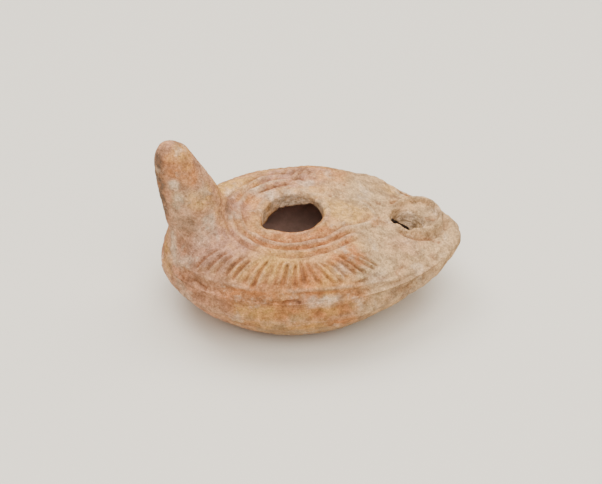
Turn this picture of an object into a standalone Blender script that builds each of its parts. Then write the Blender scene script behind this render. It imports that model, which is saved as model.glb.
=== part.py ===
"""A mould-made clay oil lamp: hollow body, filling hole, wick hole and a cone handle.

The body is one loft of closed rows that runs from the middle of the foot, out over the
bowl and the seam, up the carved shoulder to the filling hole, and back down inside.
Metres, +Z up, nozzle towards +X, origin at the middle of the flat underside.
"""

import math

import bmesh
import bpy
import numpy as np

# Body
LENGTH = 0.098
WIDTH = 0.062
BACK_REACH = 0.0404
BODY_HEIGHT = 0.0352
WALL = 0.0038
NOZZLE_TAPER = 0.04
NOZZLE_POINT = 0.2
NOZZLE_POINT_POWER = 4
NOZZLE_BEND = 0.0017
NOZZLE_BEND_START_X = 0.020

# Seam between the two mould halves
SEAM_HEIGHT = 0.018
SEAM_RISE_AT_NOZZLE = 0.0047
SEAM_STRIP_HALF_HEIGHT = 0.0018
SEAM_STRIP_PROUD = 0.0005
SEAM_GROOVE_RISE = 0.0029
SEAM_GROOVE_INSET = 0.0009

# Foot
FOOT_LENGTH = 0.034
FOOT_WIDTH = 0.035
FOOT_STEP = 0.0010

# Filling hole and the rings around it
HOLE_LENGTH = 0.0196
HOLE_WIDTH = 0.0180
HOLE_X = 0.0027
LIP_OFFSET = 0.0015
LIP_RISE = 0.0005
RING_LENGTH = 0.0344
RING_WIDTH = 0.0312
RING_RISE = 0.0008
RING_PITCH = 0.0033
OUTER_RING_RISE = 0.0005
GROOVE_DEPTH = 0.0003
CHANNEL_WHOLE_AT = math.radians(60)
CHANNEL_CORNER_POWER = 12
CHANNEL_END_POWER = 8

# Nozzle
NOZZLE_DROP = 0.0076
WICK_HOLE_DIAMETER = 0.0106
WICK_HOLE_TO_PROW = 0.0179
WICK_RIM_DIAMETER = 0.0208
WICK_RIM_TO_PROW = 0.0152
WICK_RIM_WIDTH = 0.0030
WICK_RIM_RISE = 0.0010
WICK_RIM_DEPTH = 0.0033
WICK_HOLE_DEPTH = 0.0084
CHANNEL_END_GAP = 0.0042

# Radial strokes on the shoulder
STROKES_PER_SIDE = 20
STROKE_DEPTH = 0.0007
BORDER_RISE = 0.0007
STROKE_START_ANGLE = math.radians(40)
STROKE_END_ANGLE = math.radians(150)
STROKE_SLANT = math.radians(11)
STROKE_SLANT_RISE = (math.radians(80), math.radians(110))
STROKE_SLANT_FALL = (math.radians(140), math.radians(165))

# Handle
HANDLE_TOP = 0.0667
HANDLE_ROOT_INSET = 0.0034
HANDLE_TIP_INSET = 0.0009
HANDLE_ROOT_LENGTH = 0.0234
HANDLE_ROOT_WIDTH = 0.0175
HANDLE_TIP_LENGTH = 0.0091
HANDLE_TIP_WIDTH = 0.0080
HANDLE_FLARE = 0.0020
HANDLE_FLARE_SHARE = 0.3
HANDLE_ROUNDING_START = 0.86

# Shoulder and bowl profiles, as shares of their own span
SHOULDER_START = 0.59
NOZZLE_SHOULDER_START = 0.66
NOZZLE_SPREAD = math.radians(10)
SHOULDER_POWER = 2.27
BOWL_SIDE_POWER = 1.8
BOWL_END_POWER = 1.35
STROKE_BAND = (0.32, 0.82)
BORDER_AT = 0.845
SHOULDER_FOOT_ROWS = (0.88, 0.945)
BOWL_ROWS = (0.86, 0.66, 0.44, 0.22)
INNER_SHOULDER_ROWS = (0.0, 0.55, 0.86)
INNER_BOWL_ROWS = (0.75, 0.4, 0.0)

# Mesh density
NOZZLE_COLUMNS = 20
BACK_COLUMNS = 10
STROKE_ROWS = 4
ANGLE_SLACK = 1e-6
HANDLE_SIDES = 24
HANDLE_ROWS = 9
HANDLE_CAP_ROWS = 3
ROUND_SIDES = 48
RIM_CREST_POINTS = 5
SLOPE_STEP = 0.0001

# Finish of the fired clay
CLAY_COLOUR = (0.56, 0.33, 0.19, 1.0)
CLAY_ROUGHNESS = 0.9
SHARP_EDGE = math.radians(40)

# Places that follow from the sizes above
BODY_CENTRE_X = LENGTH / 2 - BACK_REACH
PROW_X = BODY_CENTRE_X + LENGTH / 2
WICK_HOLE_X = PROW_X - WICK_HOLE_TO_PROW
WICK_RIM_X = PROW_X - WICK_RIM_TO_PROW
NOZZLE_TOP = BODY_HEIGHT - NOZZLE_DROP


def clear_scene():
    """Remove every object so that the script starts from nothing."""
    for obj in list(bpy.data.objects):
        bpy.data.objects.remove(obj, do_unlink=True)


def smoothstep(value, low, high):
    """Ease from 0 at low to 1 at high."""
    share = np.clip((value - low) / (high - low), 0.0, 1.0)
    return share * share * (3.0 - 2.0 * share)


def outline_table():
    """Direction from the hole's axis, reach to the outline and the outline's x there."""
    turn = np.linspace(-math.pi, math.pi, 2001)
    x = BODY_CENTRE_X + LENGTH / 2 * np.cos(turn)
    ahead = np.clip(np.cos(turn), 0.0, 1.0)
    narrowing = (1.0 - NOZZLE_TAPER * np.cos(turn)) * (1.0 - NOZZLE_POINT * ahead**NOZZLE_POINT_POWER)
    bend = np.clip((x - NOZZLE_BEND_START_X) / (PROW_X - NOZZLE_BEND_START_X), 0.0, 1.0)
    y = WIDTH / 2 * np.sin(turn) * narrowing - NOZZLE_BEND * bend**2
    angle = np.arctan2(y, x - HOLE_X)
    angle[0], angle[-1] = -math.pi, math.pi
    return angle, np.hypot(x - HOLE_X, y), x


OUTLINE_ANGLES, OUTLINE_REACHES, OUTLINE_XS = outline_table()


def outline_reach(angle):
    """Distance from the hole's axis to the body's outline in each direction."""
    return np.interp(angle, OUTLINE_ANGLES, OUTLINE_REACHES)


def seam_level(angle):
    """Height of the mould seam on the outline in each direction."""
    x = np.interp(angle, OUTLINE_ANGLES, OUTLINE_XS)
    share = np.clip((x - BODY_CENTRE_X) / (LENGTH / 2), 0.0, 1.0)
    return SEAM_HEIGHT + SEAM_RISE_AT_NOZZLE * share**2


def plateau_level(x):
    """Height of the top between the rings and the nozzle's end, which slopes down."""
    start = HOLE_X + HOLE_LENGTH / 2
    end = WICK_RIM_X
    return BODY_HEIGHT - NOZZLE_DROP * smoothstep(x, start, end)


def shoulder_start(angle):
    """Share of the reach where the top starts to turn down."""
    nozzle = np.exp(-((angle / NOZZLE_SPREAD) ** 2))
    return SHOULDER_START + (NOZZLE_SHOULDER_START - SHOULDER_START) * nozzle


def power_drop(share, power):
    """Height left, from 1 to 0, of a rounded profile at each share of its run."""
    return (1.0 - np.clip(share, 0.0, 1.0) ** power) ** (1.0 / power)


def shoulder_point(angle, reach):
    """Point on the plain top in a direction, at a distance from the hole's axis."""
    limit = outline_reach(angle)
    start = shoulder_start(angle)
    share = (reach / limit - start) / (1.0 - start)
    x = HOLE_X + reach * np.cos(angle)
    y = reach * np.sin(angle)
    seam = seam_level(angle)
    z = seam + (plateau_level(x) - seam) * power_drop(share, SHOULDER_POWER)
    return np.stack([x, y, z], -1)


def shoulder_reach(angle, share):
    """Distance from the hole's axis of a share of the shoulder's run."""
    start = shoulder_start(angle)
    return outline_reach(angle) * (start + (1.0 - start) * share)


def lifted_row(angle, reach, lift):
    """A row on the top, raised by lift along the surface's own slope."""
    inner = shoulder_point(angle, reach - SLOPE_STEP)
    outer = shoulder_point(angle, reach)
    run = np.hypot(outer[:, 0] - inner[:, 0], outer[:, 1] - inner[:, 1])
    fall = inner[:, 2] - outer[:, 2]
    size = np.hypot(run, fall)
    row = shoulder_point(angle, reach)
    row[:, 0] += lift * fall / size * np.cos(angle)
    row[:, 1] += lift * fall / size * np.sin(angle)
    row[:, 2] += lift * run / size
    return row


def ellipse_reach(angle, length, width):
    """Radius of an ellipse around the hole's axis in each direction."""
    return 1.0 / np.hypot(np.cos(angle) / (length / 2), np.sin(angle) / (width / 2))


def keyhole_reach(angle):
    """Ring around the hole that opens into a channel aimed at the wick hole."""
    ring = ellipse_reach(angle, RING_LENGTH, RING_WIDTH)
    span = WICK_HOLE_X - HOLE_X
    facing = np.abs(np.sin(angle)) * span + np.cos(angle) * RING_WIDTH / 2
    ahead = smoothstep(np.cos(angle), 0.0, math.cos(CHANNEL_WHOLE_AT))
    channel = ahead * span * RING_WIDTH / 2 / np.maximum(facing, RING_WIDTH / 4)
    power = CHANNEL_CORNER_POWER
    joined = (ring**power + channel**power) ** (1 / power)
    end = WICK_RIM_X - WICK_RIM_DIAMETER / 2 - CHANNEL_END_GAP - HOLE_X
    return (joined**-CHANNEL_END_POWER + end**-CHANNEL_END_POWER) ** (-1 / CHANNEL_END_POWER)


def column_angles():
    """Directions of the body's columns, with two columns for each radial stroke."""
    nozzle = np.linspace(0, STROKE_START_ANGLE, NOZZLE_COLUMNS // 2 + 1)[:-1]
    strokes = np.linspace(STROKE_START_ANGLE, STROKE_END_ANGLE, 2 * STROKES_PER_SIDE + 1)[:-1]
    back = np.linspace(STROKE_END_ANGLE, math.pi, BACK_COLUMNS // 2 + 1)
    half = np.concatenate([nozzle, strokes, back])
    return np.concatenate([half, -half[-2:0:-1]])


def stroke_mask(angles):
    """1 on the columns that are the bottom of a stroke, 0 on all others."""
    size = np.abs(angles)
    inside = (size > STROKE_START_ANGLE - ANGLE_SLACK) & (size < STROKE_END_ANGLE - ANGLE_SLACK)
    pitch = (STROKE_END_ANGLE - STROKE_START_ANGLE) / (2 * STROKES_PER_SIDE)
    order = np.round((size - STROKE_START_ANGLE) / pitch)
    return np.where(inside & (order % 2 == 1), 1.0, 0.0)


def ring_rows(angles):
    """Rows from the filling hole's edge out to the band of strokes."""
    hole = ellipse_reach(angles, HOLE_LENGTH, HOLE_WIDTH)
    key = keyhole_reach(angles)
    half = RING_PITCH / 2
    return [
        lifted_row(angles, hole, 0.0),
        lifted_row(angles, hole + LIP_OFFSET, LIP_RISE),
        lifted_row(angles, key - half, -GROOVE_DEPTH),
        lifted_row(angles, key, RING_RISE),
        lifted_row(angles, key + half, -GROOVE_DEPTH),
        lifted_row(angles, key + 2 * half, OUTER_RING_RISE),
        lifted_row(angles, key + 3 * half, -GROOVE_DEPTH),
    ]


def stroke_rows(angles):
    """Rows across the band of strokes, which lean back towards the handle."""
    mask = stroke_mask(angles)
    leaning = smoothstep(np.abs(angles), *STROKE_SLANT_RISE)
    settled = 1.0 - smoothstep(np.abs(angles), *STROKE_SLANT_FALL)
    low, high = STROKE_BAND
    rows = []
    for order in range(STROKE_ROWS):
        share = low + (high - low) * order / (STROKE_ROWS - 1)
        shift = STROKE_SLANT * (order / (STROKE_ROWS - 1) - 0.5) * leaning * settled
        turned = angles + np.sign(angles) * shift
        depth = -STROKE_DEPTH * mask * (0 < order < STROKE_ROWS - 1)
        rows.append(lifted_row(turned, shoulder_reach(turned, share), depth))
    return rows


def border_rows(angles):
    """Rows of the ridge under the strokes and of the plain wall down to the seam."""
    rows = [lifted_row(angles, shoulder_reach(angles, BORDER_AT), BORDER_RISE)]
    upper, lower = SHOULDER_FOOT_ROWS
    rows.append(lifted_row(angles, shoulder_reach(angles, upper), 0.0))
    rows.append(lifted_row(angles, shoulder_reach(angles, lower), 0.0))
    return rows


def outline_row(angles, rise, proud):
    """A row around the outline, at a height from the seam and standing proud of it."""
    reach = outline_reach(angles) + proud
    x = HOLE_X + reach * np.cos(angles)
    y = reach * np.sin(angles)
    return np.stack([x, y, seam_level(angles) + rise], -1)


def seam_rows(angles):
    """The groove above the joining strip and the strip's upper and lower edges."""
    half = SEAM_STRIP_HALF_HEIGHT
    return [
        outline_row(angles, SEAM_GROOVE_RISE, -SEAM_GROOVE_INSET),
        outline_row(angles, half, SEAM_STRIP_PROUD),
        outline_row(angles, -half, SEAM_STRIP_PROUD),
    ]


def bowl_row(angles, share, inset):
    """A row on the bowl, from the foot's edge at 0 to the seam at 1, moved in by inset."""
    foot_x = (FOOT_LENGTH / 2 - inset) * np.cos(angles)
    foot_y = (FOOT_WIDTH / 2 - inset) * np.sin(angles)
    reach = outline_reach(angles) - inset
    rim_x = HOLE_X + reach * np.cos(angles)
    rim_y = reach * np.sin(angles)
    base = FOOT_STEP + inset
    top = seam_level(angles) - SEAM_STRIP_HALF_HEIGHT * (1.0 if inset == 0 else 0.0)
    x = foot_x + (rim_x - foot_x) * share
    y = foot_y + (rim_y - foot_y) * share
    power = BOWL_END_POWER + (BOWL_SIDE_POWER - BOWL_END_POWER) * np.sin(angles) ** 2
    z = base + (top - base) * (1.0 - power_drop(share, power))
    return np.stack([x, y, z], -1)


def foot_edge_row(angles):
    """The edge of the flat underside."""
    x = FOOT_LENGTH / 2 * np.cos(angles)
    y = FOOT_WIDTH / 2 * np.sin(angles)
    return np.stack([x, y, np.zeros_like(x)], -1)


def inner_shoulder_row(angles, share):
    """A row under the top, one wall below it, from the hole at 0 to the inner outline at 1."""
    hole = ellipse_reach(angles, HOLE_LENGTH, HOLE_WIDTH)
    limit = outline_reach(angles) - WALL
    reach = hole + (limit - hole) * share
    start = shoulder_start(angles)
    drop = power_drop((reach / limit - start) / (1.0 - start), SHOULDER_POWER)
    x = HOLE_X + reach * np.cos(angles)
    y = reach * np.sin(angles)
    seam = seam_level(angles)
    z = seam + (plateau_level(x) - WALL - seam) * drop
    return np.stack([x, y, z], -1)


def add_rows(mesh, rows):
    """Add each row's points as vertices and return them row by row."""
    return [[mesh.verts.new(point) for point in row] for row in rows]


def join_rows(mesh, first, second):
    """Fill between two closed rows with the same number of points."""
    count = len(first)
    for i in range(count):
        j = (i + 1) % count
        mesh.faces.new((first[i], first[j], second[j], second[i]))


def join_to_half(mesh, full, half):
    """Fill between a closed row and one that keeps every second column."""
    count = len(half)
    for i in range(count):
        j = (i + 1) % count
        near, middle, far = full[2 * i], full[2 * i + 1], full[(2 * i + 2) % len(full)]
        mesh.faces.new((near, middle, half[i]))
        mesh.faces.new((middle, half[j], half[i]))
        mesh.faces.new((middle, far, half[j]))


def close_row(mesh, row, point, flip):
    """Fill a closed row with a fan around one point."""
    centre = mesh.verts.new(point)
    count = len(row)
    for i in range(count):
        pair = (row[i], row[(i + 1) % count])
        mesh.faces.new((centre, *(reversed(pair) if flip else pair)))


def mesh_object(name, mesh, collection):
    """Turn a bmesh into an object with its faces pointing out."""
    bmesh.ops.recalc_face_normals(mesh, faces=mesh.faces)
    data = bpy.data.meshes.new(name)
    mesh.to_mesh(data)
    mesh.free()
    obj = bpy.data.objects.new(name, data)
    collection.objects.link(obj)
    return obj


def body_shell(collection):
    """The hollow body: foot, bowl, seam, shoulder and rings outside, one wall inside."""
    angles = column_angles()
    top = ring_rows(angles) + stroke_rows(angles) + border_rows(angles) + seam_rows(angles)
    bowl = [bowl_row(angles, share, 0.0) for share in BOWL_ROWS]
    foot = [bowl_row(angles, 0.0, 0.0), foot_edge_row(angles)]
    inner_angles = angles[::2]
    inside = [inner_shoulder_row(inner_angles, share) for share in INNER_SHOULDER_ROWS]
    inside.append(bowl_row(inner_angles, 1.0, WALL))
    inside += [bowl_row(inner_angles, share, WALL) for share in INNER_BOWL_ROWS]

    mesh = bmesh.new()
    outer = add_rows(mesh, top + bowl + foot)
    inner = add_rows(mesh, inside)
    for first, second in zip(outer, outer[1:]):
        join_rows(mesh, second, first)
    for first, second in zip(inner, inner[1:]):
        join_rows(mesh, first, second)
    join_to_half(mesh, outer[0], inner[0])
    close_row(mesh, outer[-1], (0.0, 0.0, 0.0), True)
    close_row(mesh, inner[-1], (0.0, 0.0, FOOT_STEP + WALL), False)
    return mesh_object("lamp_body", mesh, collection)


def wall_middle(x, y):
    """Height of the middle of the top wall at a place."""
    angle = np.arctan2(y, x - HOLE_X)
    reach = np.hypot(x - HOLE_X, y)
    return shoulder_point(angle, reach)[..., 2] - WALL / 2


def handle_section(share, turn, scale=1.0):
    """Outline of the handle at a share of its height, narrowing to a round tip."""
    length = HANDLE_ROOT_LENGTH + (HANDLE_TIP_LENGTH - HANDLE_ROOT_LENGTH) * share
    width = HANDLE_ROOT_WIDTH + (HANDLE_TIP_WIDTH - HANDLE_ROOT_WIDTH) * share
    flare = HANDLE_FLARE * (1.0 - smoothstep(share, 0.0, HANDLE_FLARE_SHARE))
    ending = max(0.0, (share - HANDLE_ROUNDING_START) / (1.0 - HANDLE_ROUNDING_START))
    rounding = math.sqrt(1.0 - ending**2) * scale
    inset = HANDLE_ROOT_INSET + (HANDLE_TIP_INSET - HANDLE_ROOT_INSET) * share
    back = BODY_CENTRE_X - LENGTH / 2 + inset
    middle = back + length / 2
    x = middle + (length / 2 + flare * (np.cos(turn) > 0)) * np.cos(turn) * rounding
    y = (width / 2 + flare) * np.sin(turn) * rounding
    return x, y


def handle(collection):
    """The cone handle, rooted in the middle of the body's wall."""
    turn = np.linspace(0, 2 * math.pi, HANDLE_SIDES, endpoint=False)
    root_x, root_y = handle_section(0.0, turn)
    root_z = wall_middle(root_x, root_y)
    mesh = bmesh.new()
    rows = []
    for order in range(HANDLE_CAP_ROWS, 0, -1):
        x, y = handle_section(0.0, turn, order / (HANDLE_CAP_ROWS + 1))
        rows.insert(0, np.stack([x, y, wall_middle(x, y)], -1))
    rows.append(np.stack([root_x, root_y, root_z], -1))
    for order in range(1, HANDLE_ROWS):
        share = math.sin(order / HANDLE_ROWS * math.pi / 2)
        x, y = handle_section(share, turn)
        rows.append(np.stack([x, y, root_z + (HANDLE_TOP - root_z) * share], -1))
    points = add_rows(mesh, rows)
    for first, second in zip(points, points[1:]):
        join_rows(mesh, first, second)
    centre_x, centre_y = (float(value.mean()) for value in (root_x, root_y))
    close_row(mesh, points[0], (centre_x, centre_y, wall_middle(centre_x, centre_y)), True)
    tip_x = float(handle_section(1.0, turn)[0].mean())
    close_row(mesh, points[-1], (tip_x, 0.0, HANDLE_TOP), False)
    return mesh_object("handle_join", mesh, collection)


def wick_rim(collection):
    """A collar around the wick hole with a rounded raised edge, turned from its profile."""
    outer = WICK_RIM_DIAMETER / 2
    crest = outer - WICK_RIM_WIDTH / 2
    inner = WICK_HOLE_DIAMETER / 4
    low = NOZZLE_TOP - WICK_RIM_DEPTH
    profile = [(inner, NOZZLE_TOP)]
    for order in range(RIM_CREST_POINTS):
        turn = math.pi * (1.0 - order / (RIM_CREST_POINTS - 1))
        lift = WICK_RIM_RISE * math.sin(turn)
        profile.append((crest + WICK_RIM_WIDTH / 2 * math.cos(turn), NOZZLE_TOP + lift))
    profile += [(outer, low), (inner, low)]
    mesh = bmesh.new()
    points = [mesh.verts.new((reach, 0.0, height)) for reach, height in profile]
    for first, second in zip(points, points[1:] + points[:1]):
        mesh.edges.new((first, second))
    data = bpy.data.meshes.new("wick_rim_join")
    mesh.to_mesh(data)
    mesh.free()
    ring = bpy.data.objects.new("wick_rim_join", data)
    ring.location = (WICK_RIM_X, 0.0, 0.0)
    collection.objects.link(ring)
    screw = ring.modifiers.new("turned", "SCREW")
    screw.steps = ROUND_SIDES
    screw.render_steps = ROUND_SIDES
    screw.use_merge_vertices = True
    screw.merge_threshold = 0.00001
    return ring


def wick_hole_cutter(collection):
    """A plain cylinder down through the nozzle's top into the hollow."""
    top = BODY_HEIGHT
    bottom = NOZZLE_TOP - WICK_HOLE_DEPTH
    bpy.ops.mesh.primitive_cylinder_add(
        vertices=ROUND_SIDES // 2,
        radius=WICK_HOLE_DIAMETER / 2,
        depth=top - bottom,
        location=(WICK_HOLE_X, 0.0, (top + bottom) / 2),
    )
    cutter = bpy.context.object
    cutter.name = "wick_hole_cutter"
    move_to(cutter, collection)
    return cutter


def move_to(obj, collection):
    """Put an object in one collection only."""
    for owner in list(obj.users_collection):
        owner.objects.unlink(obj)
    collection.objects.link(obj)


def boolean(target, tool, operation):
    """Cut or join a target with a tool that itself stays out of the model."""
    modifier = target.modifiers.new(tool.name, "BOOLEAN")
    modifier.operation = operation
    modifier.solver = "EXACT"
    modifier.object = tool
    tool.hide_render = True
    tool.display_type = "WIRE"


def fired_clay():
    """Buff orange fired clay, dry and matt."""
    material = bpy.data.materials.new("fired_clay")
    material.use_nodes = True
    shader = material.node_tree.nodes["Principled BSDF"]
    shader.inputs["Base Color"].default_value = CLAY_COLOUR
    shader.inputs["Roughness"].default_value = CLAY_ROUGHNESS
    shader.inputs["Metallic"].default_value = 0.0
    return material


def main():
    """Build the lamp in its collection and the tools in another."""
    clear_scene()
    lamp = bpy.data.collections.new("oil_lamp")
    cutters = bpy.data.collections.new("cutters")
    bpy.context.scene.collection.children.link(lamp)
    bpy.context.scene.collection.children.link(cutters)
    body = body_shell(lamp)
    body.data.materials.append(fired_clay())
    body.data.shade_smooth()
    body.data.set_sharp_from_angle(angle=SHARP_EDGE)
    boolean(body, handle(cutters), "UNION")
    boolean(body, wick_rim(cutters), "UNION")
    boolean(body, wick_hole_cutter(cutters), "DIFFERENCE")


main()
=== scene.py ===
"""An ancient clay oil lamp with worn carving, mineral crust and a dark hollow, in a plain studio."""

import logging
import math
from dataclasses import dataclass, field
from enum import Enum

import bpy
import numpy as np
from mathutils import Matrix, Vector


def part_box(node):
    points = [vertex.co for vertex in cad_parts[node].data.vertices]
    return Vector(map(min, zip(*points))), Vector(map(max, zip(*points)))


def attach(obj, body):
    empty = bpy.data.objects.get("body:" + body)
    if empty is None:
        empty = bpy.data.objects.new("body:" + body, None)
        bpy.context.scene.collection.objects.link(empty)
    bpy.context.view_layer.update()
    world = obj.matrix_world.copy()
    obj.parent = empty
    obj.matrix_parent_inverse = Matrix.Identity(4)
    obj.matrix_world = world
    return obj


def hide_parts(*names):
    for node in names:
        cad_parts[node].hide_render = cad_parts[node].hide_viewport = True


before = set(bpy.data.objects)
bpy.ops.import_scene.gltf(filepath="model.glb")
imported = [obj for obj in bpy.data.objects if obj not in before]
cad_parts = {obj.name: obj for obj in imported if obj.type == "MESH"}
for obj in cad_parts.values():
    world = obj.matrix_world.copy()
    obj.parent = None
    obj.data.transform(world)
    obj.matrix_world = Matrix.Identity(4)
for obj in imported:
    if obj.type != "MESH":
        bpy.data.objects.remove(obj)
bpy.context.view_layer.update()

Array = np.ndarray
Socket = bpy.types.NodeSocket
Colour = tuple[float, float, float]
Place = tuple[float, float, float]
Range = tuple[float, float]
Swell = tuple[float, float, float]
LOG = logging.getLogger("oil_lamp")
MM = 0.001
NODE = "lamp_body"


class Skin(Enum):
    """The lamp's two surfaces, in the order of its material slots."""

    OUTSIDE = 0
    INSIDE = 1


def ease(value: Array, low: float, high: float) -> Array:
    """Rise smoothly from 0 at low to 1 at high.

    Args:
        value: What is measured.
        low: Where the rise starts.
        high: Where the rise ends.

    Returns:
        Shares from 0 to 1.
    """
    share = np.clip((value - low) / (high - low), 0.0, 1.0)
    return share * share * (3.0 - 2.0 * share)


def hump(distance: Array, width: float) -> Array:
    """Return a rounded hump of height 1 at distance 0."""
    return np.exp(-((distance / width) ** 2))


def turn_from(angle: Array, start: float) -> Array:
    """Return the turn from one direction to others, between half a turn either way."""
    return np.arctan2(np.sin(angle - start), np.cos(angle - start))


def swell(angle: Array, row: Swell) -> Array:
    """Return a rounded rise around one direction.

    Args:
        angle: Directions in radians.
        row: The rise's direction and spread in degrees, and its height.

    Returns:
        Heights in those directions.
    """
    at, spread, height = row
    return height * hump(turn_from(angle, math.radians(at)), math.radians(spread))


class ClayNoise:
    """Repeatable noise over places in millimetres."""

    def __init__(self, seed: int) -> None:
        """Shuffle the lattice.

        Args:
            seed: The number that settles the shuffle.
        """
        rng = np.random.default_rng(seed)
        self._order = rng.permutation(256)
        self._value = rng.uniform(-1.0, 1.0, 256)
        self._shift = rng.uniform(0.0, 1.0, (256, 3))

    def _mix(self, cell: Array) -> Array:
        """Return the shuffled index of each lattice cell.

        Args:
            cell: Whole numbers along each axis.

        Returns:
            One index for each cell.
        """
        order = self._order
        first = order[cell[..., 0] & 255]
        second = order[(first + cell[..., 1]) & 255]
        return order[(second + cell[..., 2]) & 255]

    def smooth(self, places: Array, size: float) -> Array:
        """Give noise with one size of feature.

        Args:
            places: Points in millimetres.
            size: Size of a feature in millimetres.

        Returns:
            Values from -1 to 1.
        """
        scaled = places / size
        cell = np.floor(scaled).astype(int)
        part = scaled - cell
        weight = part * part * part * (part * (part * 6.0 - 15.0) + 10.0)
        total = np.zeros(len(places))
        for corner in np.ndindex(2, 2, 2):
            step = np.array(corner)
            share = np.prod(np.where(step, weight, 1.0 - weight), axis=-1)
            total += share * self._value[self._mix(cell + step)]
        return total

    def layered(self, places: Array, size: float, layers: int) -> Array:
        """Give noise with features of several sizes, each half the one before.

        Args:
            places: Points in millimetres.
            size: Size of the largest feature.
            layers: How many sizes are added.

        Returns:
            Values from about -1 to 1.
        """
        total = np.zeros(len(places))
        for order in range(layers):
            total += self.smooth(places + 17.3 * order, size / 2**order) / 2**order
        return total / (2.0 - 2.0 ** (1 - layers))

    def spots(self, places: Array, size: float) -> tuple[Array, Array]:
        """Find the nearest of many scattered spots.

        Args:
            places: Points in millimetres.
            size: Mean distance between spots.

        Returns:
            Distance to the nearest spot in millimetres, and that spot's own value.
        """
        scaled = places / size
        cell = np.floor(scaled).astype(int)
        nearest = np.full(len(places), 9.0)
        value = np.zeros(len(places))
        for corner in np.ndindex(3, 3, 3):
            other = cell + np.array(corner) - 1
            index = self._mix(other)
            gap = np.linalg.norm(other + self._shift[index] - scaled, axis=-1)
            closer = gap < nearest
            nearest = np.where(closer, gap, nearest)
            value = np.where(closer, self._value[index], value)
        return nearest * size, value


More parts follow.
